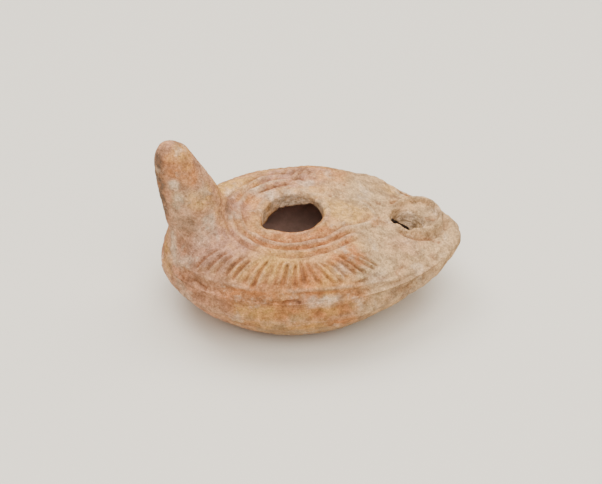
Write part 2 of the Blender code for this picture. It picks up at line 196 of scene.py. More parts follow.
@dataclass
class BodyForm:
    """The plain form of the body: sizes in millimetres and the surfaces they give."""

    length: float
    width: float
    back_reach: float
    height: float = 35.2
    wall: float = 3.8
    nozzle_taper: float = 0.04
    nozzle_point: float = 0.27
    nozzle_bend: float = 2.4
    bend_start_x: float = 20.0
    seam_height: float = 18.0
    seam_rise: float = 4.7
    strip_half: float = 1.8
    foot_length: float = 34.0
    foot_width: float = 35.0
    foot_step: float = 1.0
    hole_length: float = 19.6
    hole_width: float = 18.0
    hole_x: float = 2.7
    hole_edge: float = 0.8
    hole_depth: float = 4.9
    hole_deeper: tuple[Swell, ...] = ((122.0, 19.0, 1.4), (182.0, 20.0, 2.4), (32.0, 26.0, -2.4))
    hole_lean: Swell = (178.0, 24.0, 0.6)
    hole_wear: tuple[Swell, ...] = ((-149.0, 17.0, 1.9), (150.0, 25.0, -0.8))
    hole_chip: Swell = (113.0, 4.0, -1.2)
    nozzle_wall: float = 13.0
    shaft_depth: float = 10.0
    shaft_y: float = -0.3
    shaft_x: float = 0.6
    shaft_round: float = 5.5
    shaft_chord: float = 4.2
    shaft_chord_at: float = -136.7
    shaft_lean: float = 0.38
    nozzle_drop: float = 7.6
    wick_hole: float = 10.6
    wick_hole_to_prow: float = 17.9
    rim_diameter: float = 18.8
    rim_to_prow: float = 14.1
    rim_y: float = 1.6
    rim_width: float = 3.0
    rim_rise: float = 2.2
    rim_skirt: float = 3.2
    rim_blend: float = 0.45
    shoulder_start: float = 0.59
    nozzle_start: float = 0.66
    nozzle_spread: float = math.radians(10)
    shoulder_power: float = 2.27
    bowl_side_power: float = 1.8
    bowl_end_power: float = 1.35
    _angles: Array = field(init=False, repr=False)
    _reaches: Array = field(init=False, repr=False)
    _xs: Array = field(init=False, repr=False)

    @classmethod
    def from_frame(cls, strip_proud: float = 0.5) -> "BodyForm":
        """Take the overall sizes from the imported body.

        Args:
            strip_proud: How far the seam's strip stands out of the outline there.

        Returns:
            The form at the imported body's size.
        """
        low, high = (np.array(corner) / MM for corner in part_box(NODE))
        length = high[0] - low[0] - 2.0 * strip_proud
        width = high[1] - low[1] - 2.0 * strip_proud
        return cls(length, width, -low[0] - strip_proud)

    def __post_init__(self) -> None:
        """Tabulate the outline seen from the filling hole's axis."""
        turn = np.linspace(-math.pi, math.pi, 4001)
        x = self.centre_x + self.length / 2 * np.cos(turn)
        narrow = 1.0 - self.nozzle_taper * np.cos(turn)
        narrow *= 1.0 - self.nozzle_point * np.clip(np.cos(turn), 0.0, 1.0) ** 4
        bend = np.clip((x - self.bend_start_x) / (self.prow_x - self.bend_start_x), 0.0, 1.0)
        y = self.width / 2 * np.sin(turn) * narrow - self.nozzle_bend * bend**2
        self._angles, self._reaches = self.polar(x, y)
        self._angles[0], self._angles[-1] = -math.pi, math.pi
        self._xs = x

    @property
    def centre_x(self) -> float:
        """Middle of the outline."""
        return self.length / 2 - self.back_reach

    @property
    def prow_x(self) -> float:
        """Tip of the nozzle."""
        return self.centre_x + self.length / 2

    @property
    def wick_x(self) -> float:
        """Axis of the wick hole."""
        return self.prow_x - self.wick_hole_to_prow

    @property
    def rim_x(self) -> float:
        """Axis of the wick hole's collar."""
        return self.prow_x - self.rim_to_prow

    @property
    def nozzle_top(self) -> float:
        """Height of the nozzle's top at the wick hole."""
        return self.height - self.nozzle_drop

    def polar(self, x: Array, y: Array) -> tuple[Array, Array]:
        """Return the directions and distances of places from the hole's axis."""
        return np.arctan2(y, x - self.hole_x), np.hypot(x - self.hole_x, y)

    def around_hole(self, angle: Array, reach: Array, z: Array) -> Array:
        """Return points at directions and distances from the hole's axis."""
        return np.stack([self.hole_x + reach * np.cos(angle), reach * np.sin(angle), z], -1)

    def outline(self, angle: Array) -> Array:
        """Return the distance from the hole's axis to the outline."""
        return np.interp(angle, self._angles, self._reaches)

    def seam(self, angle: Array) -> Array:
        """Return the height of the mould seam.

        Args:
            angle: Directions from the hole's axis.

        Returns:
            Heights in millimetres.
        """
        x = np.interp(angle, self._angles, self._xs)
        share = np.clip((x - self.centre_x) / (self.length / 2), 0.0, 1.0)
        return self.seam_height + self.seam_rise * share**2

    def inner_reach(self, angle: Array) -> Array:
        """Return the distance to the inner outline, which narrows into the nozzle."""
        thick = self.nozzle_wall * (1.0 - ease(np.abs(angle), math.radians(8), math.radians(60)))
        return self.outline(angle) - self.wall - thick

    def even_angles(self, count: int) -> Array:
        """Spread columns evenly along the outline.

        Args:
            count: How many columns.

        Returns:
            Rising directions from the hole's axis.
        """
        x = self.hole_x + self._reaches * np.cos(self._angles)
        y = self._reaches * np.sin(self._angles)
        run = np.concatenate([[0.0], np.cumsum(np.hypot(np.diff(x), np.diff(y)))])
        wanted = np.linspace(0.0, run[-1], count, endpoint=False)
        return np.interp(wanted, run, self._angles)

    def plateau(self, x: Array) -> Array:
        """Return the height of the flat of the top, which slopes down to the nozzle."""
        return self.height - self.nozzle_drop * ease(x, self.hole_x + self.hole_length / 2, self.rim_x)

    def start(self, angle: Array) -> Array:
        """Return the share of the reach where the top starts to turn down."""
        nozzle = np.exp(-((angle / self.nozzle_spread) ** 2))
        return self.shoulder_start + (self.nozzle_start - self.shoulder_start) * nozzle

    def shoulder_share(self, angle: Array, reach: Array) -> Array:
        """Return how far across the shoulder a place is, 0 at its start and 1 at the seam."""
        start = self.start(angle)
        return (reach / self.outline(angle) - start) / (1.0 - start)

    def shoulder_reach(self, angle: Array, share: Array) -> Array:
        """Return the distance from the hole's axis of a share of the shoulder."""
        start = self.start(angle)
        return self.outline(angle) * (start + (1.0 - start) * share)

    def drop(self, share: Array, power: Array) -> Array:
        """Return the height left, from 1 to 0, of a rounded profile."""
        return (1.0 - np.clip(share, 0.0, 1.0) ** power) ** (1.0 / power)

    def collar(self, x: Array, y: Array) -> Array:
        """Return the height of the wick hole's collar, far below the top away from it.

        Args:
            x: Places along the lamp.
            y: Places across it.

        Returns:
            Heights in millimetres.
        """
        outer = self.rim_diameter / 2
        reach = np.hypot(x - self.rim_x, y - self.rim_y)
        crest = hump(reach - (outer - self.rim_width / 2), self.rim_width / 3)
        fall = self.rim_skirt * ease(reach, outer - 0.7, outer + 0.9)
        return self.nozzle_top + self.rim_rise * crest - fall

    def top(self, angle: Array, reach: Array, below: float = 0.0) -> Array:
        """Give points on the plain top.

        Args:
            angle: Directions from the hole's axis.
            reach: Distances from that axis.
            below: How far under the outside the surface lies, for the inside.

        Returns:
            Points with x, y and z in the last axis.
        """
        limit = self.inner_reach(angle) if below else self.outline(angle)
        start = self.start(angle)
        share = (reach / limit - start) / (1.0 - start)
        x = self.hole_x + reach * np.cos(angle)
        y = reach * np.sin(angle)
        seam = self.seam(angle)
        z = seam + (self.plateau(x) - below - seam) * self.drop(share, self.shoulder_power)
        if below == 0.0:
            raised = self.collar(x, y)
            blend = self.rim_blend
            near = np.abs(z - raised) < 4.0 * blend
            soft = np.maximum(z, raised) + blend * np.log1p(np.exp(-np.abs(z - raised) / blend))
            held = ease(z - seam, 0.0, 1.5)
            z = z + (np.where(near, soft, np.maximum(z, raised)) - z) * held
        return np.stack([x, y, z], -1)

    def bowl(self, angle: Array, share: Array, inset: float = 0.0) -> Array:
        """Give points on the bowl, from the foot at share 0 to the seam at share 1.

        Args:
            angle: Directions from the hole's axis.
            share: Shares of the way out from the foot.
            inset: How far inside the outside the surface lies.

        Returns:
            Points with x, y and z in the last axis.
        """
        foot_x = (self.foot_length / 2 - inset) * np.cos(angle)
        foot_y = (self.foot_width / 2 - inset) * np.sin(angle)
        reach = self.inner_reach(angle) if inset else self.outline(angle)
        rim_x = self.hole_x + reach * np.cos(angle)
        rim_y = reach * np.sin(angle)
        span = self.bowl_side_power - self.bowl_end_power
        power = self.bowl_end_power + span * np.sin(angle) ** 2
        base = self.foot_step + inset
        x = foot_x + (rim_x - foot_x) * share
        y = foot_y + (rim_y - foot_y) * share
        z = base + (self.seam(angle) - base) * (1.0 - self.drop(share, power))
        return np.stack([x, y, z], -1)

    def hole_reach(self, angle: Array) -> Array:
        """Return the radius of the filling hole, worn out of round, in each direction.

        Args:
            angle: Directions from the hole's axis.

        Returns:
            Distances in millimetres.
        """
        across = np.sin(angle) / (self.hole_width / 2)
        reach = 1.0 / np.hypot(np.cos(angle) / (self.hole_length / 2), across)
        for row in self.hole_wear:
            reach = reach + swell(angle, row)
        return reach

    def hole_wall(self, angle: Array) -> Array:
        """Return how deep the filling hole's wall goes, with a chip out of its lower edge.

        Args:
            angle: Directions from the hole's axis.

        Returns:
            Depths in millimetres.
        """
        ripple = 0.25 * np.sin(5.0 * angle) + 0.15 * np.sin(13.0 * angle + 1.0)
        depth = self.hole_depth + ripple
        for row in (self.hole_chip, *self.hole_deeper):
            depth = depth + swell(angle, row)
        return depth


@dataclass
class HandleForm:
    """The cone handle: sizes in millimetres and its cross sections."""

    top: float
    root_inset: float = 3.4
    tip_inset: float = 0.9
    root_length: float = 23.4
    root_width: float = 17.5
    tip_length: float = 9.1
    tip_width: float = 8.0
    flare: float = 2.0
    rounding_start: float = 0.86

    def measures(self, body: BodyForm, share: Array) -> tuple[Array, Array, Array]:
        """Measure a level section.

        Args:
            body: The body that carries the handle.
            share: Share of the handle's height.

        Returns:
            The section's length, its width and the x of its middle.
        """
        length = self.root_length + (self.tip_length - self.root_length) * share
        width = self.root_width + (self.tip_width - self.root_width) * share
        inset = self.root_inset + (self.tip_inset - self.root_inset) * share
        return length, width, body.centre_x - body.length / 2 + inset + length / 2

    def section(self, body: BodyForm, share: Array, turn: Array) -> tuple[Array, Array]:
        """Give the outline of a level section.

        Args:
            body: The body that carries the handle.
            share: Share of the handle's height.
            turn: Directions around the section.

        Returns:
            The outline's x and y.
        """
        length, width, middle = self.measures(body, share)
        flare = self.flare * (1.0 - ease(share, 0.0, 0.3))
        ending = np.clip((share - self.rounding_start) / (1.0 - self.rounding_start), 0.0, 1.0)
        rounding = np.sqrt(1.0 - ending**2)
        x = middle + (length / 2 + flare * (np.cos(turn) > 0)) * np.cos(turn) * rounding
        y = (width / 2 + flare) * np.sin(turn) * rounding
        return x, y

    def gap(self, body: BodyForm, places: Array) -> Array:
        """Return about how far places are outside the handle's side, in millimetres.

        Args:
            body: The body that carries the handle.
            places: Points in millimetres.

        Returns:
            Distances, below 0 inside the handle.
        """
        root = body.height - body.wall / 2
        share = np.clip((places[:, 2] - root) / (self.top - root), 0.0, self.rounding_start)
        length, width, middle = self.measures(body, share)
        away = np.hypot((places[:, 0] - middle) / (length / 2), places[:, 1] / (width / 2))
        return (away - 1.0) * (length + width) / 4


@dataclass(frozen=True)
class Mark:
    """One line, raised or cut, along a few places in millimetres."""

    places: tuple[Place, ...]
    width: float
    rise: float

    def height(self, at: Array) -> Array:
        """Return the mark's height at places in millimetres.

        Args:
            at: Points in millimetres.

        Returns:
            Heights in millimetres.
        """
        gap = np.full(len(at), np.inf)
        for first, second in zip(self.places, self.places[1:]):
            start = np.array(first)
            run = np.array(second) - start
            share = np.clip((at - start) @ run / (run @ run), 0.0, 1.0)
            gap = np.minimum(gap, np.linalg.norm(at - start - share[:, None] * run, axis=1))
        return self.rise * hump(gap, self.width)


HAND_MARKS = (
    Mark(((-36.6, -4.0, 36.0), (-35.6, -7.5, 31.0), (-34.0, -11.5, 28.0)), 1.1, 1.0),
    Mark(((-34.2, -6.5, 35.0), (-33.0, -9.8, 31.0)), 0.7, -0.6),
    Mark(((-3.2, -29.8, 24.8), (0.2, -30.1, 25.2), (2.9, -30.4, 23.3), (8.3, -30.4, 23.1)), 0.45, -0.7),
    Mark(((18.7, -28.0, 28.5), (23.0, -26.5, 28.1)), 0.6, -0.8),
    Mark(((43.0, 5.0, 28.5), (45.1, 3.4, 28.5), (45.6, 1.4, 28.5)), 0.5, -0.6),
    Mark(((44.9, 7.0, 28.5), (45.3, 7.0, 28.5)), 0.9, -0.7),
    Mark(((27.2, 0.6, 31.8), (29.2, 0.2, 31.0)), 0.5, -0.5),
    Mark(((30.4, 0.0, 30.4), (32.6, 0.2, 29.4)), 0.5, -0.5),
    Mark(((28.0, -3.4, 31.0), (29.6, -3.6, 30.3)), 0.5, -0.5),
    Mark(((31.6, -4.2, 29.8), (33.4, -4.6, 29.2)), 0.5, -0.5),
    Mark(((-6.6, 11.6, 35.2), (-3.0, 13.0, 35.2)), 0.6, -0.6),
    Mark(((-2.2, 13.6, 35.2), (1.9, 14.4, 35.2)), 0.6, -0.6),
    Mark(((3.5, 15.6, 35.2), (8.5, 15.2, 35.0)), 0.6, -0.5),
    Mark(((-19.4, 3.5, 35.4), (-20.0, -1.0, 35.4), (-19.2, -6.0, 35.4)), 0.9, -0.9),
    Mark(((-30.6, -17.7, 25.8), (-27.3, -20.9, 24.9)), 0.6, -0.7),
    Mark(((11.2, -16.2, 34.2), (18.5, -13.4, 33.4), (24.5, -8.8, 32.3)), 0.8, 0.5),
    Mark(((-12.5, -28.9, 18.0), (-2.0, -31.0, 16.6), (10.0, -31.0, 17.4)), 0.7, -0.4),
    Mark(((-30.7, -5.4, 56.1), (-30.5, -6.4, 49.1), (-30.0, -7.4, 41.7)), 1.6, 0.5),
    Mark(((-31.9, -5.4, 54.0), (-31.8, -6.2, 49.0)), 0.5, -0.45),
    Mark(((-31.0, -7.6, 40.5), (-31.5, -9.0, 36.5)), 1.5, -0.5),
    Mark(((-25.7, -8.9, 38.6), (-23.0, -8.6, 40.0)), 0.5, -0.5),
    Mark(((50.0, 8.5, 27.0), (52.6, 4.5, 27.0), (53.2, 1.0, 27.0), (52.4, -3.0, 27.0)), 1.1, -0.9),
    Mark(((35.0, -3.8, 29.0), (38.0, -7.0, 28.4), (41.5, -8.2, 28.4)), 0.45, -0.6),
    Mark(((-25.0, -9.6, 37.0), (-22.2, -9.4, 38.0)), 0.5, -0.5),
    Mark(((2.2, 14.5, 35.3), (4.5, 16.3, 35.4), (6.9, 17.0, 35.1), (8.8, 15.2, 35.8)), 0.6, -0.8),
    Mark(((1.8, 19.9, 35.1), (3.2, 22.8, 34.2)), 0.6, -0.7),
    Mark(((4.3, 18.8, 35.5), (6.1, 22.1, 34.6)), 0.6, -0.7),
    Mark(((7.0, 19.1, 35.3), (8.5, 22.2, 34.6)), 0.6, -0.7),
    Mark(((9.6, 17.6, 35.4), (11.0, 21.0, 34.7)), 0.6, -0.6),
    Mark(((12.2, 17.0, 35.2), (13.7, 19.6, 34.8)), 0.6, -0.5),
)

LEANS = (
    Mark(((40.5, 17.5, 25.0), (43.0, 15.5, 25.0)), 3.0, -1.2),
    Mark(((30.0, 24.0, 26.5), (33.5, 22.5, 26.0), (36.0, 20.5, 26.0)), 2.6, 0.9),
    Mark(((-17.7, 0.2, 41.6), (-18.1, -3.9, 40.8), (-17.8, -6.2, 37.5)), 0.8, -0.8),
    Mark(((-38.6, 0.0, 58.0), (-38.2, 0.0, 50.0)), 4.5, 0.8),
    Mark(((-36.5, 0.0, 65.5), (-38.0, 0.0, 63.5)), 3.0, -0.4),
    Mark(((-40.0, -8.0, 20.0), (-37.0, -14.0, 17.0)), 6.0, -0.7),
    Mark(((-7.0, 28.0, 27.5), (6.0, 28.0, 27.5)), 4.0, 0.8),
    Mark(((24.0, 24.0, 26.5), (31.0, 21.5, 26.0)), 4.0, 0.9),
)


class Tone(Enum):
    """Colours laid on the clay, in the order in which they are laid on: stains, with some painted light
    and shade among them, and last a painted shade in the wick hole.
    """

    ORANGE = "orange"
    ROSE = "rose"
    GREY = "grey"
    OCHRE = "ochre"
    PALE = "pale"
    # Grime, and painted shade on the handle's back edge and the lower bowl.
    GRIME_AND_SHADE = "grime"
    # Painted shade: a near-black band in the wick hole, where the dark inside shows through.
    SLIT_SHADE = "soot"


@dataclass(frozen=True)
class Blotch:
    """A ragged patch of colour around a place, with its spread along each axis, in millimetres; most are
    stains, a few are painted light and painted shade.
    """

    place: Place
    spread: Place
    strength: float

    def cover(self, at: Array, ragged: Array) -> Array:
        """Return how much the stain covers places in millimetres.

        Args:
            at: Places in millimetres.
            ragged: Noise that frays the stain's edge.

        Returns:
            Shares from 0 to 1.
        """
        gap = np.linalg.norm((at - np.array(self.place)) / np.array(self.spread), axis=1)
        return self.strength * ease(1.0 - gap + 0.55 * ragged, -0.1, 0.6)


# Patches of each colour. Most are stains; the pale patch on the filling hole's far wall is painted light,
# and the grime along the handle's back edge and over the lower bowl is painted shade.
STAINS_AND_PAINTED_LIGHT = {
    Tone.ORANGE: (
        Blotch((-32.0, -4.0, 60.5), (6.5, 7.0, 8.0), 0.85),
        Blotch((-28.0, -6.6, 46.5), (3.6, 4.0, 5.0), 1.0),
        Blotch((-28.5, -5.0, 55.5), (3.0, 4.0, 3.5), 0.9),
        Blotch((0.5, -13.0, 35.3), (14.0, 4.0, 5.0), 0.85),
        Blotch((-9.0, 9.5, 35.2), (5.0, 4.0, 4.0), 0.6),
        Blotch((28.0, -2.5, 31.5), (9.0, 3.0, 4.0), 0.7),
        Blotch((17.0, -21.0, 33.0), (9.0, 6.0, 5.0), 0.9),
        Blotch((-18.0, -25.5, 26.0), (16.0, 7.0, 5.0), 0.9),
        Blotch((19.0, -29.0, 25.5), (6.0, 4.0, 4.0), 0.6),
        Blotch((5.0, -14.5, 35.0), (17.0, 7.0, 4.0), 1.0),
    ),
    Tone.ROSE: (
        Blotch((-24.0, -13.0, 33.5), (13.0, 11.0, 8.0), 0.95),
        Blotch((4.0, 17.5, 35.2), (14.0, 8.0, 5.0), 0.95),
        Blotch((-18.0, 3.0, 35.5), (7.0, 9.0, 7.0), 0.9),
        Blotch((3.0, -30.0, 24.0), (8.0, 3.0, 3.0), 0.6),
        Blotch((38.0, -12.0, 28.0), (7.0, 5.0, 4.0), 0.35),
        Blotch((-3.0, 8.8, 32.6), (7.0, 3.0, 4.0), 0.4),
        Blotch((12.0, 3.0, 33.2), (3.0, 6.0, 3.0), 0.9),
    ),
    Tone.GREY: (
        Blotch((-31.0, -6.0, 47.0), (9.0, 5.0, 13.0), 0.2),
        Blotch((-34.0, -5.6, 49.0), (2.8, 3.0, 5.0), 0.9),
        Blotch((20.0, 5.0, 34.0), (14.0, 11.0, 8.0), 0.75),
        Blotch((27.0, -23.0, 28.5), (6.5, 7.0, 7.0), 0.85),
        Blotch((2.0, -26.0, 8.5), (26.0, 9.0, 6.5), 1.0),
    ),
    Tone.OCHRE: (
        Blotch((-31.0, -4.0, 64.0), (5.0, 6.0, 5.0), 0.6),
        Blotch((-27.5, -6.6, 48.5), (4.0, 4.0, 5.0), 0.8),
        Blotch((-25.0, -5.0, 50.0), (4.0, 4.0, 5.0), 0.6),
        Blotch((-38.8, -4.0, 24.0), (4.0, 6.0, 7.0), 0.55),
        Blotch((-15.0, 16.0, 34.0), (9.0, 6.0, 5.0), 0.9),
        Blotch((-4.0, -21.5, 34.0), (10.0, 6.5, 6.0), 0.85),
        Blotch((-9.0, -28.9, 20.0), (14.0, 5.0, 3.5), 0.85),
        Blotch((38.0, 17.0, 26.0), (9.0, 5.0, 4.0), 0.45),
        Blotch((-6.0, -29.0, 14.5), (20.0, 6.0, 3.5), 0.5),
        Blotch((18.0, 0.0, 34.0), (13.0, 7.0, 5.0), 0.75),
    ),
    Tone.PALE: (
        Blotch((-34.2, -5.0, 54.5), (2.3, 3.0, 3.0), 1.0),
        Blotch((-33.6, -5.6, 48.0), (2.0, 3.0, 4.5), 0.5),
        Blotch((-26.0, -5.0, 51.0), (3.0, 3.5, 3.5), 0.45),
        Blotch((-27.0, -9.5, 36.0), (4.0, 4.0, 4.0), 0.35),
        Blotch((-24.0, -7.6, 40.5), (2.6, 3.5, 4.0), 0.85),
        Blotch((-36.0, -7.0, 32.5), (1.8, 5.0, 7.0), 0.85),
        Blotch((-33.6, -13.2, 28.6), (3.5, 3.5, 3.5), 0.6),
        Blotch((-9.0, 12.5, 35.2), (4.0, 3.0, 4.0), 0.6),
        Blotch((8.5, 14.0, 35.0), (3.5, 2.5, 3.0), 0.6),
        Blotch((14.5, -24.5, 31.5), (4.0, 3.0, 3.0), 0.5),
        Blotch((27.0, -24.5, 27.5), (4.0, 4.0, 4.0), 0.45),
        Blotch((9.5, -30.2, 24.6), (6.5, 3.0, 2.4), 0.85),
        Blotch((-1.7, -30.5, 16.0), (14.0, 5.0, 2.5), 0.3),
        Blotch((12.0, 3.0, 33.0), (3.0, 6.0, 3.0), 0.8),
        Blotch((-7.0, 3.0, 32.0), (2.5, 5.0, 3.0), 0.7),
        # Painted light: the filling hole's far wall made paler, as if lit from the front.
        Blotch((3.5, 8.8, 32.6), (12.0, 4.0, 5.0), 1.0),
        Blotch((-31.0, -6.0, 44.0), (8.0, 5.0, 12.0), 0.25),
        Blotch((41.0, 4.0, 24.0), (6.0, 5.0, 5.0), 0.6),
    ),
    Tone.GRIME_AND_SHADE: (
        Blotch((-31.0, -8.0, 38.5), (3.4, 4.0, 5.5), 0.55),
        # Painted shade: the handle's back edge darkened, where it turns away from the light.
        Blotch((-38.5, -2.0, 58.0), (2.4, 5.0, 10.0), 1.0),
        Blotch((-38.0, -2.5, 46.0), (2.4, 5.0, 10.0), 1.0),
        Blotch((-30.0, -18.0, 26.0), (5.0, 3.5, 2.5), 0.4),
        Blotch((40.0, -23.0, 21.0), (15.0, 8.0, 7.0), 0.3),
        Blotch((31.5, -25.8, 23.0), (4.0, 3.0, 1.6), 0.5),
        Blotch((-19.8, -2.0, 35.4), (1.2, 6.0, 3.0), 0.45),
        Blotch((-13.0, -27.5, 25.0), (12.0, 4.0, 1.6), 0.35),
        Blotch((13.8, -31.0, 19.0), (9.0, 4.0, 2.0), 0.4),
        Blotch((48.6, 1.0, 28.0), (5.0, 6.0, 3.0), 0.25),
        Blotch((47.0, 12.0, 27.0), (9.0, 3.0, 4.0), 0.35),
        # Painted shade: the lower bowl darkened, where it lies under the light.
        Blotch((4.0, -22.0, 9.0), (36.0, 15.0, 10.0), 0.5),
        Blotch((-22.0, -16.0, 32.0), (9.0, 6.0, 4.0), 0.22),
        Blotch((4.0, -14.5, 35.0), (15.0, 4.0, 4.0), 0.22),
        Blotch((-17.9, -3.0, 40.0), (1.1, 4.0, 3.0), 0.5),
        Blotch((52.0, -4.0, 25.5), (8.0, 9.0, 6.0), 0.14),
    ),
}


@dataclass
class Carving:
    """Rings, channel, strokes, border and seam, as heights above the plain form."""

    body: BodyForm
    ring_length: float = 34.4
    ring_width: float = 31.2
    ring_rise: float = 1.15
    ring_pitch: float = 3.3
    outer_ring_rise: float = 0.65
    groove_depth: float = 0.8
    groove_widths: tuple[float, float, float] = (0.55, 0.5, 0.6)
    ring_crest: float = 0.95
    outer_ring_crest: float = 0.9
    outer_ring_fade: Range = (18.0, 26.0)
    lip_rise: float = 0.7
    lip_at: float = 1.6
    moat_depth: float = 1.25
    moat_at: float = 0.8
    moat_width: float = 0.6
    far_wear: float = 0.65
    channel_wear: float = 0.25
    channel_end_gap: float = 6.3
    strokes_per_side: int = 20
    stroke_depth: float = 0.95
    stroke_from: float = math.radians(40)
    stroke_to: float = math.radians(156)
    stroke_slant: float = math.radians(5)
    nozzle_slant: float = math.radians(12)
    stroke_shift: float = 0.32
    stroke_width: float = 0.64
    stroke_burr: float = 0.42
    stroke_burr_at: float = 1.15
    channel_corner_power: int = 12
    channel_end_power: int = 8
    band: Range = (0.30, 0.82)
    border_at: float = 0.845
    border_rise: float = 0.6
    strip_proud: float = 0.5
    seed: int = 4

    def keyhole(self, angle: Array) -> Array:
        """Return the radius of the ring that opens into a channel towards the wick hole.

        Args:
            angle: Directions from the hole's axis.

        Returns:
            Distances in millimetres.
        """
        body = self.body
        across = np.sin(angle) / (self.ring_width / 2)
        ring = 1.0 / np.hypot(np.cos(angle) / (self.ring_length / 2), across)
        span = body.wick_x - body.hole_x
        facing = np.abs(np.sin(angle)) * span + np.cos(angle) * self.ring_width / 2
        ahead = ease(np.cos(angle), 0.0, 0.5)
        channel = ahead * span * self.ring_width / 2 / np.maximum(facing, self.ring_width / 4)
        corner, ending = self.channel_corner_power, self.channel_end_power
        joined = (ring**corner + channel**corner) ** (1 / corner)
        end = body.rim_x - body.rim_diameter / 2 - self.channel_end_gap - body.hole_x + 2.0
        return (joined**-ending + end**-ending) ** (-1 / ending)

    def rings(self, angle: Array, reach: Array, x: Array, y: Array) -> Array:
        """Return the height of the lip, the two ring ridges and the grooves beside them.

        Args:
            angle: Directions from the hole's axis.
            reach: Distances from that axis.
            x: Places along the lamp.
            y: Places across it.

        Returns:
            Heights in millimetres.
        """
        body = self.body
        key = self.keyhole(angle)
        step = 0.004
        lean = (self.keyhole(angle + step) - self.keyhole(angle - step)) / (2 * step) / key
        across = (reach - key) / np.sqrt(1.0 + lean**2)
        half = self.ring_pitch / 2
        around = np.hypot(x - body.rim_x, y - body.rim_y) - body.rim_diameter / 2
        clear = ease(around, 0.0, 2.5)
        kept = 1.0 - ease(x, *self.outer_ring_fade)
        inner_width, middle_width, outer_width = self.groove_widths
        lip = self.lip_rise * hump(reach - body.hole_reach(angle) - self.lip_at, 1.0)
        ridge = self.ring_rise * hump(across, self.ring_crest)
        outer = self.outer_ring_rise * hump(across - 2 * half, self.outer_ring_crest) * kept
        grooves = hump(across + half, inner_width) + hump(across - half, middle_width)
        grooves = grooves + hump(across - 3 * half, outer_width) * kept
        moat = hump(around - self.moat_at, self.moat_width) * ease(x, body.wick_x - 6.0, body.wick_x)
        far = ease(angle, math.radians(5), math.radians(25))
        far = far * (1.0 - ease(angle, math.radians(70), math.radians(100)))
        ahead = 1.0 - ease(np.abs(angle), math.radians(12), math.radians(38))
        clear = clear * (1.0 - self.far_wear * far) * (1.0 - self.channel_wear * ahead)
        return lip + (ridge + outer - self.groove_depth * grooves) * clear - self.moat_depth * moat

    def strokes(self, angle: Array, reach: Array, share: Array) -> Array:
        """Return the height of the radial strokes, each a little unlike the next.

        Args:
            angle: Directions from the hole's axis.
            reach: Distances from that axis.
            share: How far across the shoulder, from 0 to 1.

        Returns:
            Heights in millimetres.
        """
        rng = np.random.default_rng(self.seed)
        table = rng.uniform(-1.0, 1.0, (2, self.strokes_per_side + 2, 5))
        low, high = self.band
        size = np.abs(angle)
        side = (angle > 0).astype(int)
        along = (share - low) / (high - low)
        ahead = 1.0 - ease(size, math.radians(74), math.radians(94))
        leaning = ease(size, math.radians(80), math.radians(110))
        settled = 1.0 - ease(size, math.radians(140), math.radians(165))
        turned = size + (self.nozzle_slant * ahead - self.stroke_slant * leaning * settled) * (along - 0.5)
        along = along + self.stroke_shift * (1.0 - ease(size, math.radians(42), math.radians(72)))
        pitch = (self.stroke_to - self.stroke_from) / self.strokes_per_side
        order = np.floor((turned - self.stroke_from) / pitch).astype(int)
        inside = (order >= 0) & (order < self.strokes_per_side)
        own = table[side, np.clip(order, 0, self.strokes_per_side)]
        middle = self.stroke_from + (order + 0.5 + 0.14 * own[:, 0]) * pitch
        distance = (turned - middle) * reach
        width = self.stroke_width * (1.0 + 0.3 * own[:, 1])
        begin = 0.06 + 0.10 * own[:, 2]
        finish = 0.98 + 0.05 * own[:, 3]
        window = ease(along, begin - 0.06, begin + 0.14)
        window = window * (1.0 - ease(along, finish - 0.12, finish + 0.05))
        near_side = 0.72 + 0.35 * ease(size, math.radians(65), math.radians(100))
        worn_side = np.where(angle > 0, 0.18, near_side)
        depth = self.stroke_depth * (1.0 + 0.45 * own[:, 4]) * worn_side
        burr = self.stroke_burr * hump(np.abs(distance) - self.stroke_burr_at, 0.5)
        return -depth * (hump(distance, width) - burr) * window * inside

    def border(self, angle: Array, reach: Array, height: Array) -> Array:
        """Return the height of the ridge under the strokes.

        Args:
            angle: Directions from the hole's axis.
            reach: Distances from that axis.
            height: Heights of the places.

        Returns:
            Heights in millimetres.
        """
        line = self.body.top(angle, self.body.shoulder_reach(angle, self.border_at))
        away = self.body.polar(line[:, 0], line[:, 1])[1]
        out = np.hypot(reach - away, height - line[:, 2]) * np.sign(away - reach) * -1.0
        groove = 0.25 * hump(out - 1.9, 0.7)
        return self.border_rise * hump(out, 0.85) - groove

    def strip(self, rise: Array, rough: Array) -> Array:
        """Return the height of the clay strip smeared over the seam.

        Args:
            rise: Height above the seam.
            rough: Noise that frays the strip's edges.

        Returns:
            Heights in millimetres.
        """
        half = self.body.strip_half
        edge = half * (1.0 + 0.45 * rough)
        face = self.strip_proud * (1.0 - ease(np.abs(rise), edge - 0.5, edge + 0.5))
        groove = hump(rise - 1.7 * half - 0.5 * rough, 0.5) * ease(rough, -0.6, 0.4)
        return face - 0.5 * groove

